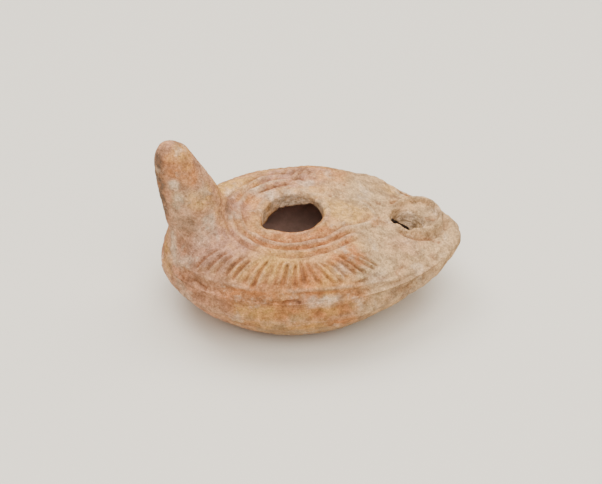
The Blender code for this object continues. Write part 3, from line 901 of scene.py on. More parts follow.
    def height(self, places: Array, rough: Array) -> Array:
        """Give the carved height at places on the plain outside.

        Args:
            places: Points in millimetres.
            rough: Slow noise at the same places.

        Returns:
            Heights in millimetres.
        """
        body = self.body
        x, y, z = places.T
        wobble = ClayNoise(self.seed + 5)
        angle, reach = body.polar(x, y)
        angle = angle + 0.022 * wobble.layered(places, 9.0, 2)
        reach = reach + 0.5 * wobble.layered(places + 60.0, 8.0, 2)
        share = body.shoulder_share(angle, reach)
        rise = z - body.seam(angle)
        upper = ease(rise, 0.3, 1.5)
        nozzle = ease(np.abs(angle), math.radians(30), math.radians(45))
        fresh = wobble.layered(places + 30.0, 6.0, 3)
        carved = self.rings(angle, reach, x, y)
        carved = carved + self.border(angle, reach, z) * (0.35 + 0.65 * nozzle)
        carved = carved * np.clip(0.85 + 0.8 * fresh, 0.2, 1.4)
        carved = carved + self.strokes(angle, reach, share) * np.clip(0.95 + 0.5 * fresh, 0.5, 1.3)
        side = ease(reach / body.outline(angle), 0.86, 0.95) * (1.0 - 0.9 * ease(x, 46.0, 54.0))
        carved = carved * upper + self.strip(rise, rough) * side
        return carved + sum(mark.height(places) for mark in HAND_MARKS)


@dataclass
class Weathering:
    """Wear of the fired surface: lumps, erosion, streaks and pits, and the covers of the stains, the
    painted light and the painted shade.
    """

    body: BodyForm
    seed: int = 11
    lump: float = 0.30
    erosion: float = 0.23
    grain: float = 0.12
    streak: float = 0.28
    pit_depth: float = 0.40
    pit_kinds: tuple[Place, ...] = ((3.4, 0.75, 0.35), (1.7, 0.42, 0.1))
    # Where the painted shade in the wick hole lies: a near-black band under the worn edge, where the dark
    # inside shows through.
    slit_normal: Place = (0.484, 0.457, 0.625)
    slit_place: Place = (38.05, -4.4, 28.6)
    slit_width: float = 0.95

    def slow(self, places: Array) -> Array:
        """Return slow noise that frays edges."""
        return ClayNoise(self.seed + 1).layered(places, 5.0, 3)

    def height(self, places: Array) -> Array:
        """Give the wear at places on the outside.

        Args:
            places: Points in millimetres.

        Returns:
            Heights in millimetres.
        """
        noise = ClayNoise(self.seed)
        raised = ease(places[:, 2], 38.0, 46.0)
        nozzle = ease(places[:, 0], 18.0, 32.0)
        lumps = self.lump * (1.0 + 1.2 * raised) * noise.layered(places, 13.0, 2)
        erosion = self.erosion * (1.0 + 0.6 * nozzle + 0.5 * raised)
        erosion = erosion * noise.layered(places + 40.0, 3.6, 3)
        grain = self.grain * noise.layered(places + 90.0, 1.1, 2)
        return lumps + erosion + grain + self.streaks(places) - self.pits(places)

    def stains_and_painted_light(self, places: Array) -> dict[Tone, Array]:
        """Give the cover of each colour at places: stains, painted light, and painted shade.

        Args:
            places: Points in millimetres.

        Returns:
            Shares from 0 to 1 for each colour.
        """
        ragged = ClayNoise(self.seed + 7).layered(places, 4.5, 4)
        covers = {}
        for tone in Tone:
            bare = np.ones(len(places))
            for blotch in STAINS_AND_PAINTED_LIGHT.get(tone, ()):
                bare *= 1.0 - blotch.cover(places, ragged)
            covers[tone] = 1.0 - bare
        # Painted shade in the wick hole.
        covers[Tone.SLIT_SHADE] = np.maximum(covers[Tone.SLIT_SHADE], self.painted_slit_shade(places))
        return covers

    def painted_slit_shade(self, places: Array) -> Array:
        """Return the cover of a painted shade: a near-black band deep under the wick hole's worn edge,
        where the dark inside shows through.

        Args:
            places: Points in millimetres.

        Returns:
            Shares, above 1 where it is thick.
        """
        body = self.body
        normal = np.array(self.slit_normal) / np.linalg.norm(self.slit_normal)
        above = (places - np.array(self.slit_place)) @ normal
        cover = 1.0 - ease(above, self.slit_width - 0.2, self.slit_width + 0.2)
        away = np.hypot(places[:, 0] - body.wick_x, places[:, 1] - body.shaft_y)
        cover *= away < body.shaft_round + 1.2
        floor = body.nozzle_top - body.shaft_depth - 2.0
        cover *= (places[:, 2] > floor) & (places[:, 2] < body.nozzle_top - 0.2)
        return 2.5 * cover * (1.0 - ease(places[:, 0], 41.0, 42.0))

    def streaks(self, places: Array) -> Array:
        """Return streaks drawn along the outline, strongest on the low band.

        Args:
            places: Points in millimetres.

        Returns:
            Heights in millimetres.
        """
        body = self.body
        angle = body.polar(places[:, 0], places[:, 1])[0]
        rise = places[:, 2] - body.seam(angle)
        run = np.stack([angle * 28.0, places[:, 2] * 5.5, np.zeros(len(places))], -1)
        band = ease(rise, -5.0, -1.0) * (1.0 - ease(rise, 6.0, 11.0))
        return self.streak * band * ClayNoise(self.seed + 2).layered(run, 7.0, 3)

    def pits(self, places: Array) -> Array:
        """Return the depth of scattered pits.

        Args:
            places: Points in millimetres.

        Returns:
            Depths in millimetres.
        """
        noise = ClayNoise(self.seed + 3)
        depth = np.zeros(len(places))
        for size, radius, rarity in self.pit_kinds:
            gap, value = noise.spots(places, size)
            reach = radius * (0.7 + 0.5 * np.abs(value))
            depth = np.maximum(depth, hump(gap, reach) * (value > rarity) * radius)
        return self.pit_depth * depth / self.pit_kinds[0][1]


class LampMesh:
    """The lamp as one closed mesh: plain loft, handle, wick hole, then carving and wear."""

    COLUMNS = 536
    INNER_RATIO = 4
    WALL_ROWS = 7
    EDGE_ROWS = 4
    PLATEAU_ROWS = 40
    SHOULDER_ROWS = 58
    BOWL_ROWS = 36
    INNER_SHOULDER_ROWS = 12
    INNER_BOWL_ROWS = 8
    HANDLE_SIDES = 112
    HANDLE_ROWS = 84
    HANDLE_CROWDING = 1.15
    HANDLE_ROOT_SCALES = (0.25, 0.5, 0.75)
    BOWL_POWER = 1.6
    FOOT_ROWS = ((0.35, 1.0), (0.0, 0.985), (0.0, 0.9), (0.0, 0.6), (0.0, 0.3))
    PLUG_SIDES = 72
    PLUG_ROWS = 36
    SMOOTHING = 0.9
    JOINT_ROUNDS = 190
    JOINT_ABOVE = (1.5, 9.0)
    JOINT_GAP = (2.5, 7.5)
    RIM_ROUNDS = 8
    RIM_GAP = (0.4, 1.3)
    CARVED_FROM_WICK = 7.5
    CARVED_FROM_HOLE = (8.8, 10.2)

    def __init__(self, body: BodyForm, handle: HandleForm) -> None:
        """Keep the forms that the mesh follows.

        Args:
            body: The body's form.
            handle: The handle's form.
        """
        self.body = body
        self.handle = handle
        self.carving = Carving(body)
        self.weathering = Weathering(body)

    def _outer_rows(self, angle: Array) -> list[Array]:
        """Return the outer rows from the foot of the hole's wall out to the underside.

        Args:
            angle: Directions from the hole's axis.

        Returns:
            One row of points for each step.
        """
        body = self.body
        hole = body.hole_reach(angle)
        top = body.plateau(body.hole_x + hole * np.cos(angle))
        edge = body.hole_edge
        depth = body.hole_wall(angle)
        lean = swell(angle, body.hole_lean)
        rows = []
        for order in range(self.WALL_ROWS):
            share = order / self.WALL_ROWS
            z = top - depth + (depth - edge) * share
            reach = hole - lean * (1.0 - share)
            rows.append(body.around_hole(angle, reach, z))
        for order in range(self.EDGE_ROWS):
            turn = math.pi / 2 * order / self.EDGE_ROWS
            reach = hole + edge * (1.0 - math.cos(turn))
            z = top - edge * (1.0 - math.sin(turn))
            rows.append(body.around_hole(angle, reach, z))
        start = body.shoulder_reach(angle, 0.0)
        for order in range(self.PLATEAU_ROWS):
            rows.append(body.top(angle, hole + edge + (start - hole - edge) * order / self.PLATEAU_ROWS))
        for order in range(self.SHOULDER_ROWS):
            share = math.sin(math.pi / 2 * order / self.SHOULDER_ROWS) ** (2 / body.shoulder_power)
            rows.append(body.top(angle, body.shoulder_reach(angle, share)))
        for order in range(self.BOWL_ROWS, -1, -1):
            share = math.sin(math.pi / 2 * order / self.BOWL_ROWS) ** (2 / self.BOWL_POWER)
            rows.append(body.bowl(angle, share))
        for height, scale in self.FOOT_ROWS:
            x = body.foot_length / 2 * np.cos(angle) * scale
            y = body.foot_width / 2 * np.sin(angle) * scale
            rows.append(np.stack([x, y, np.full_like(x, height)], -1))
        return rows

    def _inner_rows(self, angle: Array) -> list[Array]:
        """Return the inner rows from the hole's lower edge to the floor.

        Args:
            angle: Directions from the hole's axis.

        Returns:
            One row of points for each step.
        """
        body = self.body
        hole = body.hole_reach(angle)
        limit = body.inner_reach(angle)
        rows = []
        for order in range(1, self.INNER_SHOULDER_ROWS + 1):
            share = math.sin(math.pi / 2 * order / (self.INNER_SHOULDER_ROWS + 1))
            rows.append(body.top(angle, hole + (limit - hole) * share, body.wall))
        for order in range(self.INNER_BOWL_ROWS, -1, -1):
            rows.append(body.bowl(angle, (order / self.INNER_BOWL_ROWS) ** 0.8, body.wall))
        return rows

    @staticmethod
    def _strip(first: Array, second: Array) -> Array:
        """Return the quads between two closed rows of vertex numbers."""
        return np.stack([first, np.roll(first, -1), np.roll(second, -1), second], -1)

    def _shell(self) -> bpy.types.Object:
        """Build the plain hollow body with its filling hole.

        Returns:
            The body's object.
        """
        angle = self.body.even_angles(self.COLUMNS)
        outer = self._outer_rows(angle)
        inner = self._inner_rows(angle[:: self.INNER_RATIO])
        points = [*outer, *inner]
        numbers = []
        count = 0
        for row in points:
            numbers.append(np.arange(count, count + len(row)))
            count += len(row)
        coords = np.concatenate(points)
        floor, under = count, count + 1
        ends = [[0.0, 0.0, self.body.foot_step + self.body.wall], [0.0, 0.0, 0.0]]
        coords = np.concatenate([coords, ends])
        faces = []
        for first, second in zip(numbers[: len(outer)], numbers[1 : len(outer)]):
            faces += self._strip(second, first).tolist()
        last = numbers[len(outer) - 1]
        faces += [[int(a), under, int(b)] for a, b in zip(last, np.roll(last, -1))]
        outside = len(faces)
        faces += self._bridge(numbers[0], numbers[len(outer)])
        inner_numbers = numbers[len(outer) :]
        for first, second in zip(inner_numbers, inner_numbers[1:]):
            faces += self._strip(first, second).tolist()
        last = inner_numbers[-1]
        faces += [[int(b), floor, int(a)] for a, b in zip(last, np.roll(last, -1))]
        return self._object("lamp_shell", coords, faces, outside)

    def _bridge(self, fine: Array, coarse: Array) -> list[list[int]]:
        """Return triangles between a fine row and a row with fewer points.

        Args:
            fine: The fine row's vertex numbers.
            coarse: The other row's vertex numbers.

        Returns:
            Vertex numbers of each triangle.
        """
        ratio = self.INNER_RATIO
        faces = []
        for order, near in enumerate(coarse):
            far = int(coarse[(order + 1) % len(coarse)])
            for step in range(ratio):
                left = int(fine[order * ratio + step])
                right = int(fine[(order * ratio + step + 1) % len(fine)])
                faces.append([left, right, int(near) if step < ratio // 2 else far])
            middle = int(fine[order * ratio + ratio // 2])
            faces.append([int(near), middle, far])
        return faces

    def _handle(self) -> bpy.types.Object:
        """Build the handle, rooted in the middle of the body's wall.

        Returns:
            The handle's object.
        """
        body = self.body
        turn = np.linspace(0.0, 2.0 * math.pi, self.HANDLE_SIDES, endpoint=False)

        def middle(x: Array, y: Array) -> Array:
            """Return the height of the middle of the top wall."""
            return body.top(*body.polar(x, y))[..., 2] - body.wall / 2

        root_x, root_y = self.handle.section(body, 0.0, turn)
        centre = np.array([root_x.mean(), 0.0])
        rows = []
        for scale in self.HANDLE_ROOT_SCALES:
            x = centre[0] + (root_x - centre[0]) * scale
            rows.append(np.stack([x, root_y * scale, middle(x, root_y * scale)], -1))
        root_z = middle(root_x, root_y)
        for order in range(self.HANDLE_ROWS):
            share = math.sin(order / self.HANDLE_ROWS * math.pi / 2) ** self.HANDLE_CROWDING
            x, y = self.handle.section(body, share, turn)
            rows.append(np.stack([x, y, root_z + (self.handle.top - root_z) * share], -1))
        coords = np.concatenate(rows)
        numbers = np.arange(len(coords)).reshape(len(rows), -1)
        faces = []
        for first, second in zip(numbers, numbers[1:]):
            faces += self._strip(first, second).tolist()
        bottom, tip = len(coords), len(coords) + 1
        tip_x = float(self.handle.section(body, 1.0, turn)[0].mean())
        ends = [[centre[0], 0.0, float(middle(centre[0], 0.0))], [tip_x, 0.0, self.handle.top]]
        coords = np.concatenate([coords, ends])
        faces += [[int(b), int(a), bottom] for a, b in zip(numbers[0], np.roll(numbers[0], -1))]
        faces += [[int(a), int(b), tip] for a, b in zip(numbers[-1], np.roll(numbers[-1], -1))]
        return self._object("lamp_handle", coords, faces, len(faces))

    def _wick_cutter(self) -> bpy.types.Object:
        """Build the upright plug that the wick hole is cut with.

        Returns:
            The plug's object.
        """
        body = self.body
        sides, rows = self.PLUG_SIDES, self.PLUG_ROWS
        turn = np.linspace(0.0, 2.0 * math.pi, sides, endpoint=False)
        low, high = body.nozzle_top - body.shaft_depth, body.nozzle_top + 1.2
        levels = [*np.linspace(low, high, rows), body.height]
        coords = []
        chord_at = math.radians(body.shaft_chord_at)
        facing = np.maximum(np.cos(turn_from(turn, chord_at)), 0.05)
        worn = (body.shaft_round**-20 + (body.shaft_chord / facing) ** -20) ** (-1 / 20)
        for z in levels:
            radius = worn * (1.0 + 0.08 * float(ease(z, body.nozzle_top - 1.5, body.nozzle_top + 1.0)))
            lean = body.shaft_lean * max(body.nozzle_top - 0.5 - z, 0.0)
            x = body.wick_x + body.shaft_x + radius * np.cos(turn) + lean * math.cos(chord_at)
            y = body.shaft_y + radius * np.sin(turn) + lean * math.sin(chord_at)
            coords.append(np.stack([x, y, np.full(sides, z)], -1))
        numbers = np.arange((rows + 1) * sides).reshape(rows + 1, sides)
        faces = []
        for first, second in zip(numbers, numbers[1:]):
            faces += self._strip(first, second).tolist()
        faces.append(numbers[0][::-1].tolist())
        faces.append(numbers[-1].tolist())
        return self._object("wick_plug", np.concatenate(coords), faces, len(faces))

    @staticmethod
    def _object(name: str, coords: Array, faces: list[list[int]], outside: int) -> bpy.types.Object:
        """Make an object from points in millimetres.

        Args:
            name: The object's name.
            coords: Points in millimetres.
            faces: Vertex numbers of each face.
            outside: How many of the first faces belong to the outside.

        Returns:
            The object, linked to the scene.
        """
        mesh = bpy.data.meshes.new(name)
        mesh.from_pydata((coords * MM).tolist(), [], faces)
        slots = np.full(len(faces), Skin.INSIDE.value, dtype=np.int32)
        slots[:outside] = Skin.OUTSIDE.value
        mesh.materials.append(None)
        mesh.materials.append(None)
        mesh.polygons.foreach_set("material_index", slots)
        mesh.validate()
        obj = bpy.data.objects.new(name, mesh)
        bpy.context.scene.collection.objects.link(obj)
        return obj

    @staticmethod
    def _combine(target: bpy.types.Object, tool: bpy.types.Object, operation: str) -> None:
        """Join a tool to the target or cut it away, then remove the tool.

        Args:
            target: The object that is changed.
            tool: The object that is used up.
            operation: UNION or DIFFERENCE.
        """
        modifier = target.modifiers.new(tool.name, "BOOLEAN")
        modifier.operation = operation
        modifier.solver = "EXACT"
        modifier.object = tool
        evaluated = target.evaluated_get(bpy.context.evaluated_depsgraph_get())
        result = bpy.data.meshes.new_from_object(evaluated)
        target.modifiers.clear()
        target.data = result
        bpy.data.objects.remove(tool, do_unlink=True)

    def build(self) -> bpy.types.Object:
        """Build the lamp.

        Returns:
            The finished object, without its materials.
        """
        shell = self._shell()
        self._combine(shell, self._handle(), "UNION")
        self._combine(shell, self._wick_cutter(), "DIFFERENCE")
        mesh = shell.data
        places = self._read(mesh, "vertices", "co") / MM
        outside = self._outside(mesh)
        places = self._soften(mesh, places, outside)
        self._write(mesh, places)
        self._finish_surface(mesh, places, outside)
        shell.name = "lamp_clay"
        mesh.shade_smooth()
        return shell

    @staticmethod
    def _read(mesh: bpy.types.Mesh, kind: str, name: str) -> Array:
        """Return three numbers for each element of a mesh.

        Args:
            mesh: The mesh.
            kind: Its list of elements.
            name: The property that is read.

        Returns:
            One row for each element.
        """
        items = getattr(mesh, kind)
        values = np.empty(3 * len(items), dtype=np.float32)
        items.foreach_get(name, values)
        return values.reshape(-1, 3).astype(float)

    @staticmethod
    def _write(mesh: bpy.types.Mesh, places: Array) -> None:
        """Move the mesh's vertices to points in millimetres."""
        mesh.vertices.foreach_set("co", (places * MM).astype(np.float32).ravel())
        mesh.update()

    @staticmethod
    def _outside(mesh: bpy.types.Mesh) -> Array:
        """Return which vertices touch a face of the outside.

        Args:
            mesh: The joined mesh.

        Returns:
            True or false for each vertex.
        """
        slots = np.empty(len(mesh.polygons), dtype=np.int32)
        mesh.polygons.foreach_get("material_index", slots)
        sizes = np.empty(len(mesh.polygons), dtype=np.int32)
        mesh.polygons.foreach_get("loop_total", sizes)
        corners = np.empty(len(mesh.loops), dtype=np.int32)
        mesh.loops.foreach_get("vertex_index", corners)
        found = np.zeros(len(mesh.vertices), dtype=bool)
        found[corners[np.repeat(slots, sizes) == Skin.OUTSIDE.value]] = True
        return found

    def _soften(self, mesh: bpy.types.Mesh, places: Array, outside: Array) -> Array:
        """Round the joint of the handle and the rim of the wick hole.

        Args:
            mesh: The joined mesh.
            places: Its vertices in millimetres.
            outside: Which vertices belong to the outside.

        Returns:
            The moved vertices.
        """
        body = self.body
        edges = np.empty(2 * len(mesh.edges), dtype=np.int32)
        mesh.edges.foreach_get("vertices", edges)
        angle, reach = body.polar(places[:, 0], places[:, 1])
        above = places[:, 2] - body.top(angle, np.minimum(reach, body.outline(angle)))[:, 2]
        gap = self.handle.gap(body, places)
        joint = 1.0 - ease(np.abs(above), *self.JOINT_ABOVE)
        joint = joint * (1.0 - ease(np.abs(gap), *self.JOINT_GAP))
        wick = np.abs(np.hypot(places[:, 0] - body.wick_x, places[:, 1]) - body.wick_hole / 2)
        rim = (1.0 - ease(wick, *self.RIM_GAP)) * (places[:, 2] > body.nozzle_top - body.wall / 2)
        for weight, rounds in ((joint, self.JOINT_ROUNDS), (rim, self.RIM_ROUNDS)):
            places = self._relax(places, edges.reshape(-1, 2).T, weight * outside * self.SMOOTHING, rounds)
        return places

    @staticmethod
    def _relax(places: Array, edges: Array, weight: Array, rounds: int) -> Array:
        """Draw vertices towards the mean of their neighbours.

        Args:
            places: The vertices.
            edges: The first and the second vertex of each edge.
            weight: How far each vertex moves in a round, as a share.
            rounds: How many times they move.

        Returns:
            The moved vertices.
        """
        first, second = edges
        count = len(places)
        number = np.bincount(first, minlength=count) + np.bincount(second, minlength=count)
        for _ in range(rounds):
            total = np.zeros_like(places)
            for axis in range(3):
                total[:, axis] = np.bincount(first, places[second, axis], count)
                total[:, axis] += np.bincount(second, places[first, axis], count)
            mean = total / np.maximum(number, 1)[:, None]
            places = places + (mean - places) * weight[:, None]
        return places

    def _finish_surface(self, mesh: bpy.types.Mesh, places: Array, outside: Array) -> None:
        """Carve and wear the outside, and keep what the finish needs.

        Args:
            mesh: The joined mesh.
            places: Its vertices in millimetres.
            outside: Which vertices belong to the outside.
        """
        body = self.body
        normals = self._read(mesh, "vertices", "normal")
        slow = self.weathering.slow(places)
        near_handle = ease(self.handle.gap(body, places), -1.5, 1.5)
        angle, reach = body.polar(places[:, 0], places[:, 1])
        low_side = 1.0 - ease(places[:, 2] - body.seam(angle), 2.0, 8.0)
        carved = self.carving.height(places, slow) * np.maximum(near_handle, low_side)
        from_wick = np.hypot(places[:, 0] - body.wick_x, places[:, 1])
        carved *= ease(from_wick, body.wick_hole / 2, self.CARVED_FROM_WICK)
        carved *= ease(reach, *self.CARVED_FROM_HOLE)
        worn = self.weathering.height(places)
        standing = ease(places[:, 2], 0.2, 2.5)
        lean = sum(mark.height(places) for mark in LEANS)
        lift = (carved + lean + worn * standing) * outside
        moved = places + normals * lift[:, None]
        moved[:, 2] = np.maximum(moved[:, 2], 0.0)
        self._write(mesh, moved)
        ahead = ease(places[:, 0], body.wick_x + 5.0, body.wick_x + 9.0)
        kept = {"carved": carved * (1.0 - 0.7 * ahead) * outside, "worn": worn * outside}
        # Keep the covers of the stains, the painted light and the painted shade for the finish.
        for tone, cover in self.weathering.stains_and_painted_light(moved).items():
            kept[tone.value] = cover * outside
        for name, value in kept.items():
            layer = mesh.attributes.new(name, "FLOAT", "POINT")
            layer.data.foreach_set("value", value.astype(np.float32))


class NodeSheet:
    """Short ways to add and join nodes in one node tree."""

    MIX_COLOUR_INPUTS = (0, 6, 7)
    MIX_COLOUR_OUTPUT = 2

    def __init__(self, tree: bpy.types.NodeTree) -> None:
        """Keep the tree that the nodes go in."""
        self.tree = tree

    def add(self, kind: str, **values: object) -> bpy.types.Node:
        """Add a node.

        Args:
            kind: The node's type.
            **values: Properties of the node.

        Returns:
            The node.
        """
        node = self.tree.nodes.new(kind)
        for name, value in values.items():
            setattr(node, name, value)
        return node

    def link(self, source: Socket, target: Socket) -> None:
        """Join an output to an input."""
        self.tree.links.new(source, target)

    def feed(self, target: Socket, value: Socket | Colour | float) -> None:
        """Join a socket to an input, or set the input.

        Args:
            target: The input.
            value: An output, a colour or a number.
        """
        if isinstance(value, Socket):
            self.link(value, target)
        elif isinstance(value, tuple):
            target.default_value = (*value, 1.0)
        else:
            target.default_value = value

    def attribute(self, name: str) -> Socket:
        """Read a value that the mesh keeps at its vertices."""
        return self.add("ShaderNodeAttribute", attribute_name=name).outputs["Fac"]

    def noise(self, place: Socket, scale: float, detail: float, rough: float = 0.6) -> Socket:
        """Add a noise texture.

        Args:
            place: Where it is read.
            scale: How fine it is.
            detail: How many finer sizes it holds.
            rough: How strong the finer sizes are.

        Returns:
            Its value.
        """
        node = self.add("ShaderNodeTexNoise")
        for name, value in (("Vector", place), ("Scale", scale), ("Detail", detail), ("Roughness", rough)):
            self.feed(node.inputs[name], value)
        return node.outputs["Fac"]

    def span(self, value: Socket, low: float, high: float, ends: Range = (0.0, 1.0)) -> Socket:
        """Map a range of values smoothly to another.

        Args:
            value: The value.
            low: Where its range starts.
            high: Where its range ends.
            ends: What the start and the end become.

        Returns:
            The mapped value.
        """
        node = self.add("ShaderNodeMapRange", interpolation_type="SMOOTHSTEP")
        names = ("Value", "From Min", "From Max", "To Min", "To Max")
        for name, given in zip(names, (value, low, high, *ends)):
            self.feed(node.inputs[name], given)
        return node.outputs["Result"]

    def math(self, operation: str, *values: Socket | float) -> Socket:
        """Add a maths node.

        Args:
            operation: What it does.
            *values: Two or three sockets or numbers.

        Returns:
            Its value.
        """
        node = self.add("ShaderNodeMath", operation=operation)
        for target, value in zip(node.inputs, values):
            self.feed(target, value)
        return node.outputs["Value"]

    def mix(
        self,
        share: Socket | float,
        first: Socket | Colour,
        second: Socket | Colour,
        blend: str = "MIX",
    ) -> Socket:
        """Mix two colours.

        Args:
            share: How much of the second colour shows.
            first: The colour below.
            second: The colour above.
            blend: How they are mixed.

        Returns:
            The mixed colour.
        """
        node = self.add("ShaderNodeMix", data_type="RGBA", blend_type=blend)
        for order, value in zip(self.MIX_COLOUR_INPUTS, (share, first, second)):
            self.feed(node.inputs[order], value)
        return node.outputs[self.MIX_COLOUR_OUTPUT]

    def bump(self, height: Socket, strength: float, distance: float) -> Socket:
        """Add a bump.

        Args:
            height: What it raises.
            strength: How strong it is.
            distance: How far it reaches in metres.

        Returns:
            Its normal.
        """
        node = self.add("ShaderNodeBump")
        for name, value in (("Height", height), ("Strength", strength), ("Distance", distance)):
            self.feed(node.inputs[name], value)
        return node.outputs["Normal"]


def new_material(name: str) -> tuple[bpy.types.Material, NodeSheet, bpy.types.Node]:
    """Make a material with nodes.

    Args:
        name: The material's name.

    Returns:
        The material, its nodes and its shader.
    """
    material = bpy.data.materials.new(name)
    material.use_nodes = True
    return material, NodeSheet(material.node_tree), material.node_tree.nodes["Principled BSDF"]


def patch_group() -> bpy.types.NodeTree:
    """Build the group that makes ragged patches from noise.

    Returns:
        The group, with a Mask output.
    """
    tree = bpy.data.node_groups.new("ragged_patch", "ShaderNodeTree")
    sockets = tree.interface
    sockets.new_socket("Vector", in_out="INPUT", socket_type="NodeSocketVector")
    for name, value in (("Scale", 60.0), ("Cover", 0.5), ("Edge", 0.08)):
        made = sockets.new_socket(name, in_out="INPUT", socket_type="NodeSocketFloat")
        made.default_value = value
    sockets.new_socket("Mask", in_out="OUTPUT", socket_type="NodeSocketFloat")
    sheet = NodeSheet(tree)
    start = sheet.add("NodeGroupInput").outputs
    end = sheet.add("NodeGroupOutput")
    noise = sheet.noise(start["Vector"], start["Scale"], 6.0, 0.62)
    level = sheet.math("MULTIPLY_ADD", sheet.math("SUBTRACT", 1.0, start["Cover"]), 0.5, 0.25)
    low = sheet.math("SUBTRACT", level, start["Edge"])
    high = sheet.math("ADD", level, start["Edge"])
    sheet.link(sheet.span(noise, low, high), end.inputs["Mask"])
    return tree


@dataclass(frozen=True)
class Patch:
    """How one colour shows in ragged patches."""

    scale: float
    cover: float
    edge: float
    strength: float = 1.0

    def place(self, sheet: NodeSheet, group: bpy.types.NodeTree, place: Socket) -> Socket:
        """Place the patch group in a material.

        Args:
            sheet: The material's nodes.
            group: The group that makes ragged patches.
            place: Where it is read.

        Returns:
            How much the patches show.
        """
        node = sheet.add("ShaderNodeGroup", node_tree=group)
        inputs = (("Vector", place), ("Scale", self.scale), ("Cover", self.cover), ("Edge", self.edge))
        for name, value in inputs:
            sheet.feed(node.inputs[name], value)
        return sheet.math("MULTIPLY", node.outputs["Mask"], self.strength)


